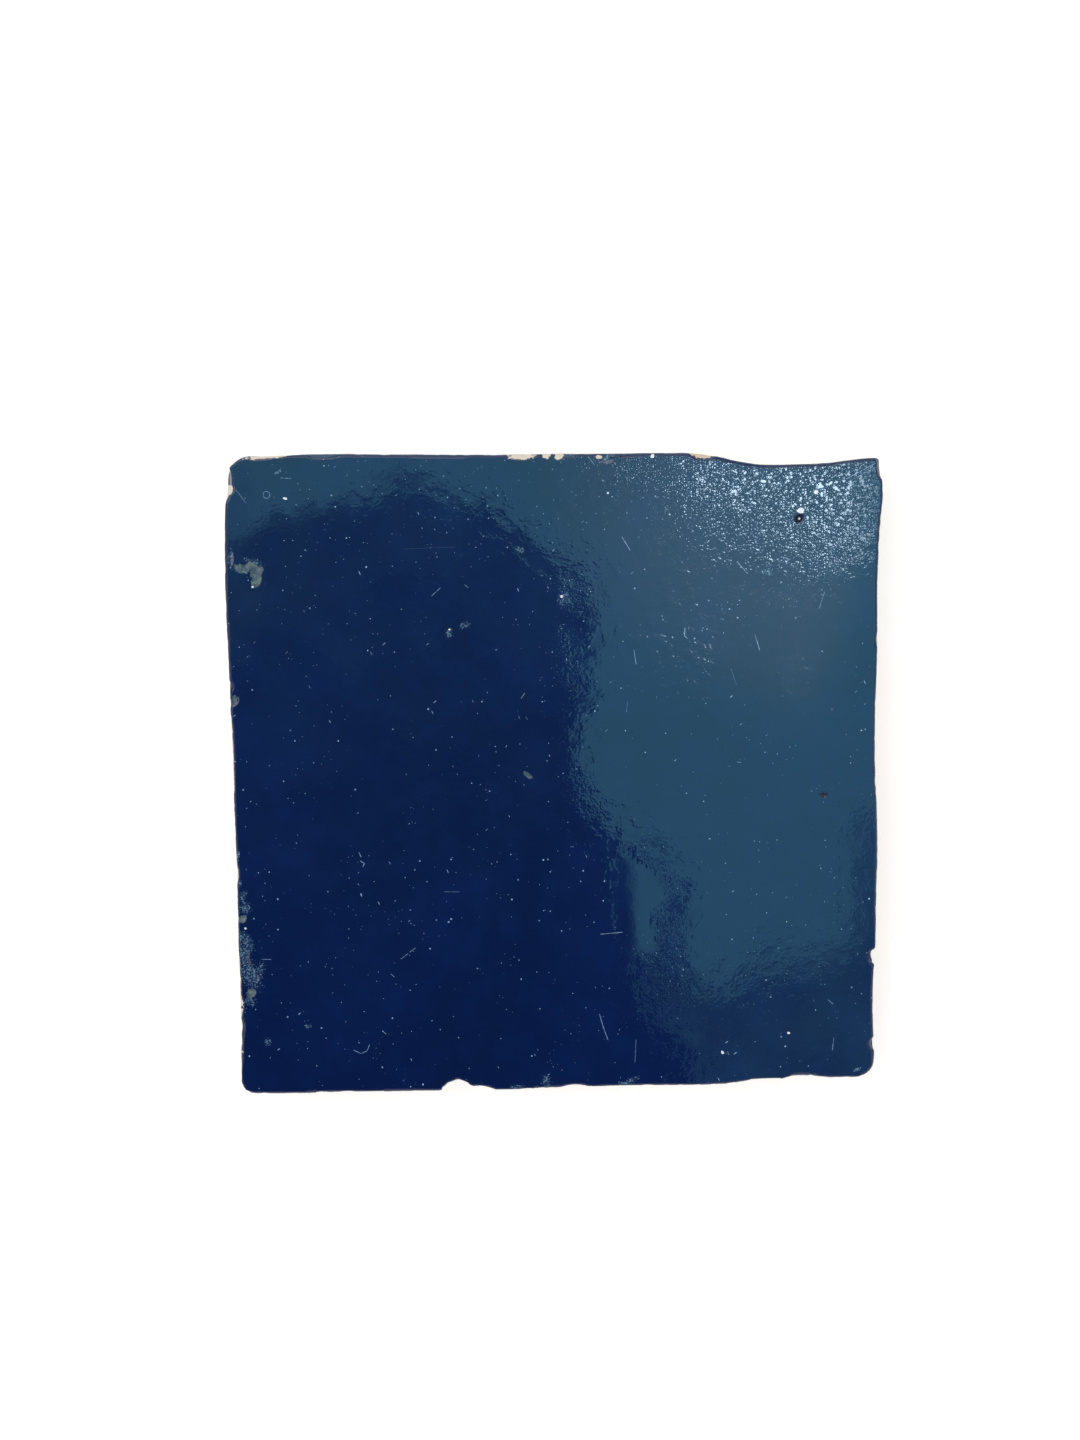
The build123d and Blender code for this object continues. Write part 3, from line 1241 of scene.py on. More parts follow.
    # The glint marks are painted highlights, and the pit marks are real sunk pits with painted shade.
    marks: tuple[Mark, ...] = (
        Mark(WearAndPaintedLight.FLAKE, 242, 569, 17, 8, -12, 0.03 * MM),
        Mark(WearAndPaintedLight.FLAKE, 250, 566, 12, 9, 0, 0.04 * MM),
        Mark(WearAndPaintedLight.FLAKE, 256, 571, 14, 10, 40, 0.05 * MM),
        Mark(WearAndPaintedLight.FLAKE, 256, 580, 16, 9, 70, 0.05 * MM),
        Mark(WearAndPaintedLight.GLINT, 252.5, 587, 2.4, 2.2),
        Mark(WearAndPaintedLight.SCUFF, 253, 561.5, 16, 4, -15),
        Mark(WearAndPaintedLight.SCUFF, 230.5, 559, 16, 5, 90, 0.04 * MM),
        Mark(WearAndPaintedLight.FLAKE, 233, 702, 12, 8, 60, 0.1 * MM),
        Mark(WearAndPaintedLight.SCUFF, 238, 856, 8, 3, 90),
        Mark(WearAndPaintedLight.BARE, 237, 875, 13, 3, 90, 0.05 * MM),
        Mark(WearAndPaintedLight.SCUFF, 240, 884, 6, 3, 90),
        Mark(WearAndPaintedLight.SCUFF, 243, 896, 9, 6, 60),
        Mark(WearAndPaintedLight.SCUFF, 245, 908, 10, 9, -40),
        Mark(WearAndPaintedLight.FLAKE, 242, 919, 9, 7, 30, 0.08 * MM),
        Mark(WearAndPaintedLight.GLINT, 245.5, 928.5, 2.6, 2, -30),
        Mark(WearAndPaintedLight.SCUFF, 246, 941, 18, 8, -60),
        Mark(WearAndPaintedLight.SCUFF, 244, 956, 22, 9, -80, 0.05 * MM),
        Mark(WearAndPaintedLight.SCUFF, 250, 974, 26, 14, -65, 0.06 * MM),
        Mark(WearAndPaintedLight.FLAKE, 251, 993, 10, 8, 40, 0.08 * MM),
        Mark(WearAndPaintedLight.SCUFF, 250, 1001, 9, 7, 0),
        Mark(WearAndPaintedLight.SCUFF, 260, 972, 18, 6, 80),
        Mark(WearAndPaintedLight.BARE, 242.5, 1006, 10, 2, 90, 0.05 * MM),
        Mark(WearAndPaintedLight.BARE, 242.4, 1049, 14, 2, 90, 0.08 * MM),
        Mark(WearAndPaintedLight.SCUFF, 308.5, 1026, 6, 3),
        Mark(WearAndPaintedLight.SCUFF, 267.5, 1042, 5, 5),
        Mark(WearAndPaintedLight.SCUFF, 546, 1081, 10, 7, 80),
        Mark(WearAndPaintedLight.SCUFF, 517.5, 1087, 11, 3, 5),
        Mark(WearAndPaintedLight.SCUFF, 630, 1081, 13, 4, 25),
        Mark(WearAndPaintedLight.GLINT, 722.5, 1052.5, 3.8, 2.6, -60),
        Mark(WearAndPaintedLight.SCUFF, 727, 1053, 4, 3),
        Mark(WearAndPaintedLight.GLINT, 788.5, 1033, 3, 2.4),
        Mark(WearAndPaintedLight.SCUFF, 857, 1070, 8, 2.6, 25),
        Mark(WearAndPaintedLight.GLINT, 285, 498.5, 5, 2.2, -15),
        Mark(WearAndPaintedLight.SCUFF, 278, 472, 8, 2.5, 40),
        Mark(WearAndPaintedLight.GLINT, 449.5, 629.5, 2, 2.4, 80),
        Mark(WearAndPaintedLight.SCUFF, 449, 633, 7, 5, 80),
        Mark(WearAndPaintedLight.SCUFF, 464, 625.5, 9, 5, 20),
        Mark(WearAndPaintedLight.SCUFF, 564, 599, 12, 9, 60),
        Mark(WearAndPaintedLight.GLINT, 561.5, 596.5, 2.8, 2.8),
        Mark(WearAndPaintedLight.SCUFF, 520, 550, 8, 4, -20),
        Mark(WearAndPaintedLight.FLAKE, 528, 775, 9, 5, -35, 0.05 * MM),
        Mark(WearAndPaintedLight.GLINT, 801, 510.5, 7, 6, 15),
        Mark(WearAndPaintedLight.PIT, 799, 518.5, 8, 6, 60, 0.45 * MM),
        Mark(WearAndPaintedLight.GLINT, 799.5, 519, 2.2, 2.2),
        Mark(WearAndPaintedLight.PIT, 824, 795, 5, 4, 0, 0.3 * MM),
        Mark(WearAndPaintedLight.PIT, 697, 457, 4, 4, 0, 0.2 * MM),
        Mark(WearAndPaintedLight.GLINT, 816, 492, 5, 4.6),
        Mark(WearAndPaintedLight.SCUFF, 813, 522.5, 8, 3, 25),
        Mark(WearAndPaintedLight.SCUFF, 768.5, 572, 8, 6),
        Mark(WearAndPaintedLight.BARE, 599, 457, 6, 4, 0, 0.05 * MM),
        Mark(WearAndPaintedLight.SCUFF, 607, 459, 12, 8, 0, 0.12 * MM),
        Mark(WearAndPaintedLight.GLINT, 652.5, 456, 4.5, 3.6, 90),
        Mark(WearAndPaintedLight.GLINT, 608, 493, 2.6, 2.2),
        Mark(WearAndPaintedLight.BARE, 520, 455.5, 28, 8, 0, 0.1 * MM),
        Mark(WearAndPaintedLight.BARE, 546, 455, 8, 7, 0, 0.08 * MM),
        Mark(WearAndPaintedLight.BARE, 559, 456, 9, 7, 0, 0.08 * MM),
        Mark(WearAndPaintedLight.BARE, 700, 454, 22, 8, -10, 0.1 * MM),
        Mark(WearAndPaintedLight.BARE, 270, 456, 50, 5, 6, 0.05 * MM),
        Mark(WearAndPaintedLight.BARE, 229, 490, 10, 7, 60, 0.1 * MM),
        Mark(WearAndPaintedLight.SCUFF, 626, 1083, 10, 3),
    )

    def build(self) -> bpy.types.Object:
        """Makes the tile and puts it in the solid's place.

        Returns:
            The finished piece.
        """
        piece = self.copy_of_solid("glazed_tile")
        solid = self.copy_of_solid("solid_shape")
        self.remesh(piece)
        for band, margin_px in self.refinements:
            self.refine(piece, band, margin_px)
        self.wrap(piece, solid)
        bpy.data.objects.remove(solid)
        self.weather(piece)
        self.dress(piece)
        return piece

    def copy_of_solid(self, name: str) -> bpy.types.Object:
        """A copy of the solid's mesh, with its loose triangles merged.

        Args:
            name: The copy's name.

        Returns:
            The copy, as the active and only selected object.
        """
        piece = bpy.data.objects.new(name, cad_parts[NODE].data.copy())
        bpy.context.scene.collection.objects.link(piece)
        self.take(piece)
        bpy.ops.object.mode_set(mode="EDIT")
        bpy.ops.mesh.select_all(action="SELECT")
        bpy.ops.mesh.remove_doubles(threshold=self.merged_within)
        bpy.ops.object.mode_set(mode="OBJECT")
        return piece

    def take(self, piece: bpy.types.Object) -> None:
        """Makes one object the active and only selected one.

        Args:
            piece: The object.
        """
        bpy.ops.object.select_all(action="DESELECT")
        piece.select_set(True)
        bpy.context.view_layer.objects.active = piece

    def remesh(self, piece: bpy.types.Object) -> None:
        """Gives the piece an even mesh of small squares.

        Args:
            piece: The piece.
        """
        self.take(piece)
        modifier = piece.modifiers.new("even_mesh", "REMESH")
        modifier.mode = "VOXEL"
        modifier.voxel_size = self.coarse_step
        bpy.ops.object.modifier_apply(modifier=modifier.name)

    def refine(self, piece: bpy.types.Object, band: float, margin_px: float) -> None:
        """Halves the squares that lie near the arris or under a mark.

        Args:
            piece: The piece.
            band: How far from the arris the squares are halved, in metres.
            margin_px: How far round a mark the squares are halved, in picture points.
        """
        self.take(piece)
        mesh = piece.data
        centres = read_vectors(mesh.polygons, "center")
        near = self.to_arris(piece, centres) < band
        picture = self.viewpoint.picture(centres)
        upward = self.drop(centres) < self.refined_drop
        for mark in self.marks:
            gap = np.hypot(picture[:, 0] - mark.x_px, picture[:, 1] - mark.y_px)
            near |= upward & (gap < mark.length_px / 2 + margin_px)
        bpy.ops.object.mode_set(mode="EDIT")
        bpy.ops.mesh.select_mode(type="FACE")
        bpy.ops.mesh.select_all(action="DESELECT")
        bpy.ops.object.mode_set(mode="OBJECT")
        mesh.polygons.foreach_set("select", near)
        bpy.ops.object.mode_set(mode="EDIT")
        bpy.ops.mesh.subdivide(number_cuts=1)
        bpy.ops.object.mode_set(mode="OBJECT")

    def drop(self, places: np.ndarray) -> np.ndarray:
        """How far places lie below the face's own waves, in metres."""
        return self.face.height(places[:, 0], places[:, 1]) - places[:, 2]

    def to_arris(self, piece: bpy.types.Object, places: np.ndarray) -> np.ndarray:
        """How far places are from the line where the face meets the sides.

        Args:
            piece: The piece, whose own points just below the face mark that line.
            places: One place a row, in metres.

        Returns:
            The distances, in metres.
        """
        points = read_vectors(piece.data.vertices, "co")
        below = self.drop(points)
        low, high = self.rim_drop
        rim = points[(below > low) & (below < high)]
        tree = KDTree(len(rim))
        for number, point in enumerate(rim):
            tree.insert(point, number)
        tree.balance()
        return np.array([tree.find(place)[2] for place in places])

    def wrap(self, piece: bpy.types.Object, solid: bpy.types.Object) -> None:
        """Draws the even mesh back onto the solid's exact surface.

        Args:
            piece: The piece.
            solid: A copy of the solid.
        """
        self.take(piece)
        modifier = piece.modifiers.new("exact_surface", "SHRINKWRAP")
        modifier.wrap_method = "NEAREST_SURFACEPOINT"
        modifier.target = solid
        bpy.ops.object.modifier_apply(modifier=modifier.name)

    def weather(self, piece: bpy.types.Object) -> None:
        """Gives the face its true waves, the edges and sides their wear, and marks where each kind of wear
        and painted light shows.

        Args:
            piece: The piece.
        """
        mesh = piece.data
        places = read_vectors(mesh.vertices, "co")
        level = self.face.height(places[:, 0], places[:, 1])
        loose = self.off_face_drop(level - places[:, 2])
        places[:, 2] = level * (1 - loose) + places[:, 2] * loose
        normals = read_vectors(mesh.vertex_normals, "vector")
        points = Points(places, normals, level - places[:, 2], self.viewpoint.picture(places))
        moved = places - normals * self.worn_off(points)[:, None]
        moved[:, 2] = np.maximum(moved[:, 2], 0.0)
        mesh.vertices.foreach_set("co", moved.ravel())
        # These shares hold the painted highlights and the painted pit shade too.
        for wear, share in self.shares_of_wear_and_painted_light(points).items():
            write_values(mesh, wear.title, share)
        write_values(mesh, "thin", self.thin(points))
        write_values(mesh, "peel", self.peel(points.picture))
        write_values(mesh, "pebble", self.pebble(points.picture))
        write_values(mesh, "grit", self.gritty.share(points.picture))
        mesh.update()

    def worn_off(self, points: Points) -> np.ndarray:
        """How much is worn off each point, along its normal.

        Args:
            points: The tile's points.

        Returns:
            The worn depths, in metres.
        """
        upward = points.normals[:, 2]
        hammered = self.hammering(points.places)
        pocked = self.pocks(points.places)
        bitten = np.maximum(self.bites(points.places) - self.bites_above, 0.0)
        bitten += np.maximum(pocked - self.pocks_above, 0.0) * self.pock_share
        depth = self.side_drop(points.drop) * self.upright(np.abs(upward)) * self.side.worn(hammered, pocked)
        depth += self.downward(upward) * self.back.worn(self.back_swell(points.places), hammered)
        depth += self.nibbled_drop(points.drop) * self.nibble * bitten
        on_face = self.sunk_drop(points.drop)
        for mark in self.marks:
            if mark.sunk:
                closeness = mark.closeness(points.picture) + self.sunk_raggedness * pocked
                depth += on_face * self.sunk_border(closeness) * mark.sunk
        return depth

    def reach_of_glaze(self, points: Points) -> np.ndarray:
        """How far below the face the glaze runs down the sides.

        Args:
            points: The tile's points.

        Returns:
            The reach beside each point, in metres.
        """
        uneven = 1 + self.reach_swell_share * self.reach_swell(points.places)
        uneven += self.reach_ripple_share * self.reach_ripple(points.places)
        reach = self.glaze_reach * uneven + self.drip * self.drip_border(self.drips(points.places))
        reach *= 1 - self.worn_edge_loss * self.worn_edge.share(points.picture)
        reach += self.rear_edge_gain * self.rear_edge.share(points.picture)
        for dent in self.glazed_dents:
            reach += self.dent_gain * self.dent_border(dent.reach(points.picture))
        return reach

    def shares_of_wear_and_painted_light(self, points: Points) -> dict[WearAndPaintedLight, np.ndarray]:
        """How much of each kind of wear, painted highlight and painted pit shade each point shows.

        Args:
            points: The tile's points.

        Returns:
            The shares, by kind of wear, painted highlight and painted pit shade.
        """
        shares = {wear: np.zeros(len(points.places)) for wear in WearAndPaintedLight}
        unglazed = self.glaze_end(points.drop - self.reach_of_glaze(points))
        shares[WearAndPaintedLight.BARE] = np.maximum(unglazed, self.under_tile(points.normals[:, 2]))
        on_face = points.drop < self.marked_drop
        for mark in self.marks:
            closeness = np.where(on_face, mark.closeness(points.picture), 0.0)
            shares[mark.wear] = np.maximum(shares[mark.wear], closeness)
        return shares

    def thin(self, points: Points) -> np.ndarray:
        """How thin the glaze has drawn over the arris: most along the top and the right.

        Args:
            points: The tile's points.

        Returns:
            The shares.
        """
        share = np.full(len(points.drop), self.least_thin)
        for zone in self.thin_zones:
            share = np.maximum(share, zone.share(points.picture))
        return share * self.thin_drop(points.drop)

    def peel(self, picture: np.ndarray) -> np.ndarray:
        """How strong the orange peel is: weak by the sharpest reflection and strong in the pitted places.

        Args:
            picture: Where each point shows in the picture.

        Returns:
            The strengths.
        """
        strength = 1 - self.smooth_loss * self.smooth_border(self.smooth.reach(picture))
        strength *= self.left_peel + (1 - self.left_peel) * self.right_of_left.share(picture)
        strength *= 1 - self.haze_loss * self.haze.share(picture)
        for pit in self.pitted:
            own = self.pitting * self.pitted_border(pit.closeness(picture))
            strength = np.maximum(strength, own)
        return strength

    def pebble(self, picture: np.ndarray) -> np.ndarray:
        """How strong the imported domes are: they lie at the top right and in the pitted places.

        Args:
            picture: Where each point shows in the picture.

        Returns:
            The strengths.
        """
        reaches = [oval.reach(picture) for oval in self.pebbled]
        strength = self.pebbled_border(np.minimum(*reaches))
        strength *= self.right_pebbles + (1 - self.right_pebbles) * self.left_of_right.share(picture)
        for pit in self.pitted:
            own = self.pit_pebbles * self.pitted_border(pit.closeness(picture))
            strength = np.maximum(strength, own)
        return strength

    def dress(self, piece: bpy.types.Object) -> None:
        """Gives the piece its material and its place on the frame.

        Args:
            piece: The piece.
        """
        self.take(piece)
        bpy.ops.object.shade_smooth()
        piece.data.materials.clear()
        piece.data.materials.append(self.finish.make())
        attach(piece, "root")
        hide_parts(NODE)


@dataclass(frozen=True)
class Patch:
    """One evenly lit part of what the glaze reflects, outlined in picture points.

    upper and lower are how bright it is at its top and bottom, and the softness of its edge is given
    for its left and its right end. fade is how fast its upper brightness gives way to the lower.
    """

    outline: tuple[tuple[float, float], ...]
    upper: float
    lower: float
    soft_left: float
    soft_right: float
    fade: float = 2.5
    border: Ramp = Ramp(-1.0, 1.0)

    def inside(self, points: np.ndarray) -> np.ndarray:
        """How far picture points are inside the outline.

        Args:
            points: One picture point a row.

        Returns:
            Distances, positive inside and negative outside.
        """
        corners = np.array(self.outline, dtype=float)
        nearest = np.full(len(points), np.inf)
        within = np.zeros(len(points), dtype=bool)
        for start, end in zip(corners, np.roll(corners, -1, axis=0)):
            side = end - start
            share = np.clip(((points - start) @ side) / (side @ side), 0.0, 1.0)
            nearest = np.minimum(nearest, np.linalg.norm(points - start - share[:, None] * side, axis=1))
            if start[1] != end[1]:
                crosses = (start[1] > points[:, 1]) != (end[1] > points[:, 1])
                at = start[0] + (points[:, 1] - start[1]) * side[0] / side[1]
                within ^= crosses & (points[:, 0] < at)
        return np.where(within, nearest, -nearest)

    def lay_on(self, level: np.ndarray, points: np.ndarray) -> np.ndarray:
        """Lays the patch over what is there.

        Args:
            level: How bright each point is without the patch.
            points: One picture point a row.

        Returns:
            How bright each point is with it.
        """
        corners = np.array(self.outline, dtype=float)
        low = corners.min(axis=0)
        across, down = np.clip((points - low) / (corners.max(axis=0) - low), 0.0, 1.0).T
        softness = self.soft_left + (self.soft_right - self.soft_left) * across
        share = self.border(self.inside(points) / softness)
        own = self.lower + (self.upper - self.lower) * (1 - down) ** self.fade
        return level * (1 - share) + own * share


@dataclass(frozen=True)
class Room:
    """The dim room with a row of tall windows that the glaze mirrors, in metres and degrees."""

    radius: float = 3.6
    segments: int = 180
    rings: int = 90
    wall: float = 0.22
    windows: float = 1.1
    overhead: float = 0.9
    window_pitch: float = 36.0
    window_width: float = 22.0
    edge: float = 1.2
    sill: float = 9.0
    transom: tuple[float, float] = (26.0, 29.0)
    lintel: float = 54.0
    ceiling: Ramp = Ramp(58.0, 66.0)

    def level(self, places: np.ndarray) -> np.ndarray:
        """How bright the room is in each direction.

        Args:
            places: One place on the room's walls a row, in metres.

        Returns:
            How brightly each glows.
        """
        rising = Ramp(-self.edge, self.edge)
        falling = Ramp(self.edge, -self.edge)
        up = np.degrees(np.arctan2(places[:, 2], np.hypot(places[:, 0], places[:, 1])))
        turn = np.degrees(np.arctan2(places[:, 1], places[:, 0])) / self.window_pitch
        from_middle = np.abs(turn - np.floor(turn) - 0.5) * self.window_pitch
        pane = falling(from_middle - self.window_width / 2)
        pane *= rising(up - self.sill) * falling(up - self.lintel)
        low, high = self.transom
        bar = rising(up - low) * falling(up - high)
        level = self.wall + (self.windows - self.wall) * pane * (1 - bar)
        overhead = self.ceiling(up)
        return level * (1 - overhead) + self.overhead * overhead


@dataclass
class Studio:
    """The pale floor, the soft light, and what the glaze reflects.

    Lengths are in metres, and a name that ends in px is in picture points. Each layer of the wander is
    the size, the seed and the strength of one noise.
    """

    face: GlazedFace
    viewpoint: Viewpoint
    room: Room = Room()
    floor_size: float = 8.0
    floor_colour: Colour = (0.93, 0.93, 0.93)
    floor_lift: float = 0.32
    daylight: float = 0.7
    seen_daylight: float = 0.3
    mirrored_daylight: float = 0.2
    lamp_size: float = 1.2
    lamp_power: float = 6.5
    lamp_place: tuple[float, float, float] = (-0.5, 0.5, 1.3)

    window_px: tuple[float, float] = (796.0, 472.0)
    window_height: float = 3.0
    window_radius: float = 0.06
    window_sides: int = 24
    window_glow: float = 27.0
    window_colour: Colour = (1.12, 0.97, 1.0)

    card_height: float = 140.0 * MM
    card_cells: int = 260
    card_px: tuple[float, float, float, float] = (150.0, 380.0, 960.0, 1170.0)
    card_colour: Colour = (0.36, 1.12, 1.25)
    card_level: float = 0.95
    glow_px: tuple[float, float, float] = (845.0, 480.0, 170.0)
    glow: float = 0.8
    clear_reach_px: Ramp = Ramp(290.0, 110.0)
    clear_squash: float = 3.1
    clear_tint: Colour = (0.54, 0.8, 0.92)
    clear_loss: float = 0.3
    clouds: Rolling = Rolling(42.0, 16.0)
    cloud_stretch: float = 1.3
    cloudiness: float = 0.6
    clouded_levels: Ramp = Ramp(0.8, 0.5)
    wander_px: tuple[float, float] = (9.0, 18.0)
    wander_stretch: float = 2.2
    wander_layers: tuple[tuple[float, float, float], ...] = (
        (30.0, 9.0, 1.0),
        (14.0, 11.0, 0.9),
        (6.0, 13.0, 0.45),
    )
    calm: Oval = Oval(636.0, 903.0, 16.0, 48.0)
    calm_border: Ramp = Ramp(1.0, 2.75)
    patches: tuple[Patch, ...] = (
        Patch(
            (
                (100, 555), (225, 543), (268, 525), (298, 527), (318, 507), (345, 496),
                (368, 487), (400, 479), (440, 487), (480, 493), (500, 510), (520, 532),
                (550, 555), (585, 578), (602, 620), (592, 680), (583, 740), (586, 790),
                (612, 828), (631, 864), (635, 930), (642, 1000), (694, 1040), (712, 1240),
                (100, 1240),
            ),
            upper=0.26,
            lower=0.0,
            soft_left=14.0,
            soft_right=4.0,
        ),
        Patch(
            (
                (645, 1003), (700, 988), (730, 980), (750, 964), (782, 956), (798, 970),
                (815, 954), (850, 940), (862, 890), (868, 820), (1000, 820), (1000, 1240),
                (712, 1240), (694, 1040),
            ),
            upper=0.5,
            lower=0.28,
            soft_left=14.0,
            soft_right=20.0,
        ),
        Patch(
            (
                (634, 840), (655, 844), (670, 860), (682, 885), (690, 908), (683, 940),
                (681, 960), (690, 985), (696, 1015), (655, 1020), (645, 990), (638, 958),
                (652, 953), (660, 940), (662, 915), (672, 905), (668, 890), (660, 876),
                (650, 866),
            ),
            upper=0.22,
            lower=0.22,
            soft_left=5.0,
            soft_right=5.0,
        ),
        Patch(((200, 560), (262, 565), (270, 610), (240, 650), (200, 660)), 0.3, 0.3, 22.0, 22.0),
        Patch(((170, 476), (248, 480), (258, 505), (248, 535), (170, 540)), 0.74, 0.74, 14.0, 14.0),
    )

    def build(self) -> None:
        """Sets up the floor, the world, the lamp and all that the glaze reflects."""
        self.add_floor()
        self.add_world()
        self.add_soft_lamp()
        self.add_room()
        self.add_far_window()
        self.add_reflected_card()

    def add_floor(self) -> None:
        """Lays the level white floor."""
        bpy.ops.object.select_all(action="DESELECT")
        bpy.ops.mesh.primitive_plane_add(size=self.floor_size, location=(0.0, 0.0, 0.0))
        floor = bpy.context.object
        floor.name = "floor"
        material, wiring = start_material("white_floor")
        shader = wiring.add("ShaderNodeBsdfDiffuse", Color=self.floor_colour)
        seen = wiring.add("ShaderNodeLightPath").outputs["Is Camera Ray"]
        strength = wiring.maths("MULTIPLY", seen, self.floor_lift)
        lift = wiring.add("ShaderNodeEmission", Color=WHITE, Strength=strength)
        wiring.finish(wiring.sum_of(shader, lift))
        floor.data.materials.append(material)

    def add_world(self) -> None:
        """Sets even soft light all round, white where the camera or the glaze sees it."""
        world = bpy.data.worlds.new("soft_daylight")
        world.use_nodes = True
        bpy.context.scene.world = world
        wiring = Wiring(world.node_tree)
        path = wiring.add("ShaderNodeLightPath").outputs
        seen = wiring.maths("MAXIMUM", path["Is Camera Ray"], path["Is Transmission Ray"])
        strength = wiring.maths("MULTIPLY_ADD", seen, self.seen_daylight, self.daylight)
        strength = wiring.maths("MULTIPLY_ADD", path["Is Glossy Ray"], self.mirrored_daylight, strength)
        background = wiring.add("ShaderNodeBackground", Color=WHITE, Strength=strength)
        wiring.finish(background, "ShaderNodeOutputWorld")

    def add_soft_lamp(self) -> None:
        """Hangs one large soft lamp, up and a little to the left, turned to the tile."""
        data = bpy.data.lights.new("soft_lamp", "AREA")
        data.shape = "SQUARE"
        data.size = self.lamp_size
        data.energy = self.lamp_power
        lamp = bpy.data.objects.new("soft_lamp", data)
        lamp.location = self.lamp_place
        lamp.rotation_euler = (-Vector(self.lamp_place)).to_track_quat("-Z", "Y").to_euler()
        bpy.context.scene.collection.objects.link(lamp)

    def add_room(self) -> None:
        """Puts the room round the tile, for the glaze alone to mirror."""
        room = self.room
        bpy.ops.object.select_all(action="DESELECT")
        bpy.ops.mesh.primitive_uv_sphere_add(
            segments=room.segments, ring_count=room.rings, radius=room.radius
        )
        walls = bpy.context.object
        walls.name = "room_walls"
        write_values(walls.data, "lit", room.level(read_vectors(walls.data.vertices, "co")))
        self.show_to_glaze_only(walls, self.glow_material("room_glow", None, WHITE))

    def add_far_window(self) -> None:
        """Hangs the small bright window, far above, that the glaze mirrors at its top right corner."""
        place = Vector(self.viewpoint.mirrored(self.face, np.array([self.window_px]), self.window_height)[0])
        bpy.ops.object.select_all(action="DESELECT")
        bpy.ops.mesh.primitive_circle_add(
            vertices=self.window_sides, radius=self.window_radius, fill_type="NGON", location=place
        )
        window = bpy.context.object
        window.name = "far_window"
        window.rotation_euler = place.to_track_quat("Z", "Y").to_euler()
        glow = self.glow_material("window_glow", self.window_glow, self.window_colour)
        self.show_to_glaze_only(window, glow)

    def show_to_glaze_only(self, thing: bpy.types.Object, material: bpy.types.Material) -> None:
        """Dresses a glowing thing that only the glaze mirrors, and that lights nothing.

        Args:
            thing: The card, the window or the room.
            material: Its glow.
        """
        material.cycles.emission_sampling = "NONE"
        thing.data.materials.append(material)
        thing.visible_camera = False
        thing.visible_diffuse = False
        thing.visible_shadow = False
        thing.visible_transmission = False

    def add_reflected_card(self) -> None:
        """Hangs a glowing card that only the glaze sees, dark where the glaze mirrors a dark room."""
        bpy.ops.object.select_all(action="DESELECT")
        cells = self.card_cells
        bpy.ops.mesh.primitive_grid_add(x_subdivisions=cells, y_subdivisions=cells, size=2.0)
        card = bpy.context.object
        card.name = "reflected_card"
        mesh = card.data
        across, up = (read_vectors(mesh.vertices, "co")[:, :2].T + 1) / 2
        left, top, right, bottom = self.card_px
        points = np.column_stack((left + across * (right - left), bottom - up * (bottom - top)))
        places = self.viewpoint.mirrored(self.face, points, self.card_height)
        mesh.vertices.foreach_set("co", places.ravel())
        clear = self.clearness(points)
        write_values(mesh, "lit", self.card_light(points) - self.clear_loss * clear)
        write_values(mesh, "clear", clear)
        mesh.update()
        self.show_to_glaze_only(card, self.card_material())

    def card_light(self, points: np.ndarray) -> np.ndarray:
        """How bright the card is: a soft glow, with the patches laid over it and clouds in the dark ones.

        Args:
            points: One picture point a row.

        Returns:
            How brightly each glows.
        """
        x_px, y_px, spread = self.glow_px
        away = np.hypot(points[:, 0] - x_px, points[:, 1] - y_px)
        level = self.card_level + self.glow * np.exp(-away / spread)
        wandered = self.wander(points)
        for patch in self.patches:
            level = patch.lay_on(level, wandered)
        flat = np.zeros(len(points))
        cloud = self.clouds(np.column_stack((points[:, 0], points[:, 1] / self.cloud_stretch, flat)))
        return level * (1 + self.cloudiness * cloud * self.clouded_levels(level))

    def clearness(self, points: np.ndarray) -> np.ndarray:
        """How clearly the far window shines through the card.

        Args:
            points: One picture point a row.

        Returns:
            1 round the window, 0 far from it and a smooth curve between, shorter to the right.
        """
        window_x, window_y = self.window_px
        right = points[:, 0] - window_x
        right = np.where(right > 0, self.clear_squash * right, right)
        return self.clear_reach_px(np.hypot(right, points[:, 1] - window_y))

    def wander(self, points: np.ndarray) -> np.ndarray:
        """Moves picture points a little by streaky noise, which breaks up the borders of what is reflected.

        Args:
            points: One picture point a row.

        Returns:
            The moved points, one a row.
        """
        flat = np.zeros(len(points))
        streaky = np.column_stack((points[:, 0] / self.wander_stretch, points[:, 1], flat))
        share = self.calm_border(self.calm.reach(points))
        moved = points.copy()
        for axis, reach in enumerate(self.wander_px):
            for size, seed, strength in self.wander_layers:
                moved[:, axis] += reach * share * strength * Rolling(size, seed + axis)(streaky)
        return moved

    def glow_material(self, name: str, strength: float | None, colour: Colour) -> bpy.types.Material:
        """A plain glow.

        Args:
            name: The material's name.
            strength: How strongly it glows, or None where the mesh's own lit attribute says it.
            colour: The glow's colour.

        Returns:
            The material.
        """
        material, wiring = start_material(name)
        level = wiring.attribute("lit") if strength is None else strength
        wiring.finish(wiring.add("ShaderNodeEmission", Color=colour, Strength=level))
        return material

    def card_material(self) -> bpy.types.Material:
        """The card's glow, which the far window shines through where the card is clear.

        Returns:
            The material.
        """
        material, wiring = start_material("card_glow")
        glow = wiring.add("ShaderNodeEmission", Color=self.card_colour, Strength=wiring.attribute("lit"))
        clear = wiring.mix(wiring.attribute("clear"), BLACK, self.clear_tint)
        wiring.finish(wiring.sum_of(glow, wiring.add("ShaderNodeBsdfTransparent", Color=clear)))
        return material


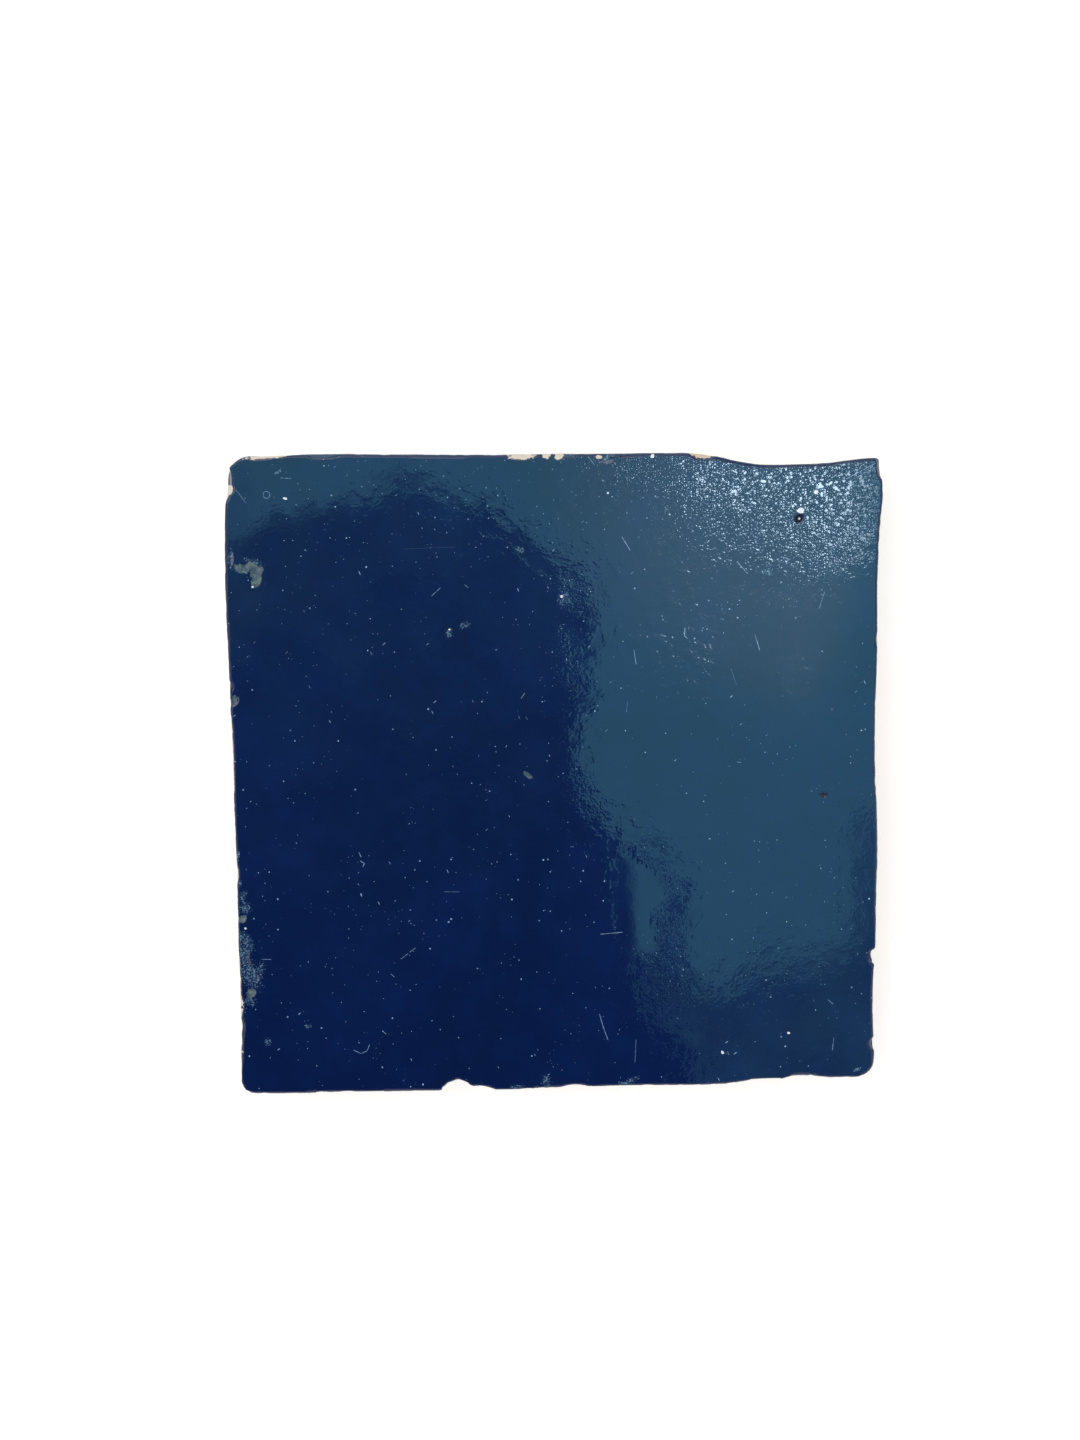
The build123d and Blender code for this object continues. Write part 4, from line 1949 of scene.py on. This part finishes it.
def main() -> None:
    """Builds the tile, the studio and the camera."""
    logging.basicConfig(level=logging.INFO, format="%(message)s")
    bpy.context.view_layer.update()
    bpy.context.scene.view_settings.view_transform = "Standard"
    face = GlazedFace()
    viewpoint = Viewpoint()
    tile = Tile(face, viewpoint, TileFinish(face, viewpoint)).build()
    triangles = sum(len(polygon.vertices) - 2 for polygon in tile.data.polygons)
    log.info("%s: %d triangles", tile.name, triangles)
    Studio(face, viewpoint).build()
    viewpoint.add_camera()


if __name__ == "__main__":
    main()
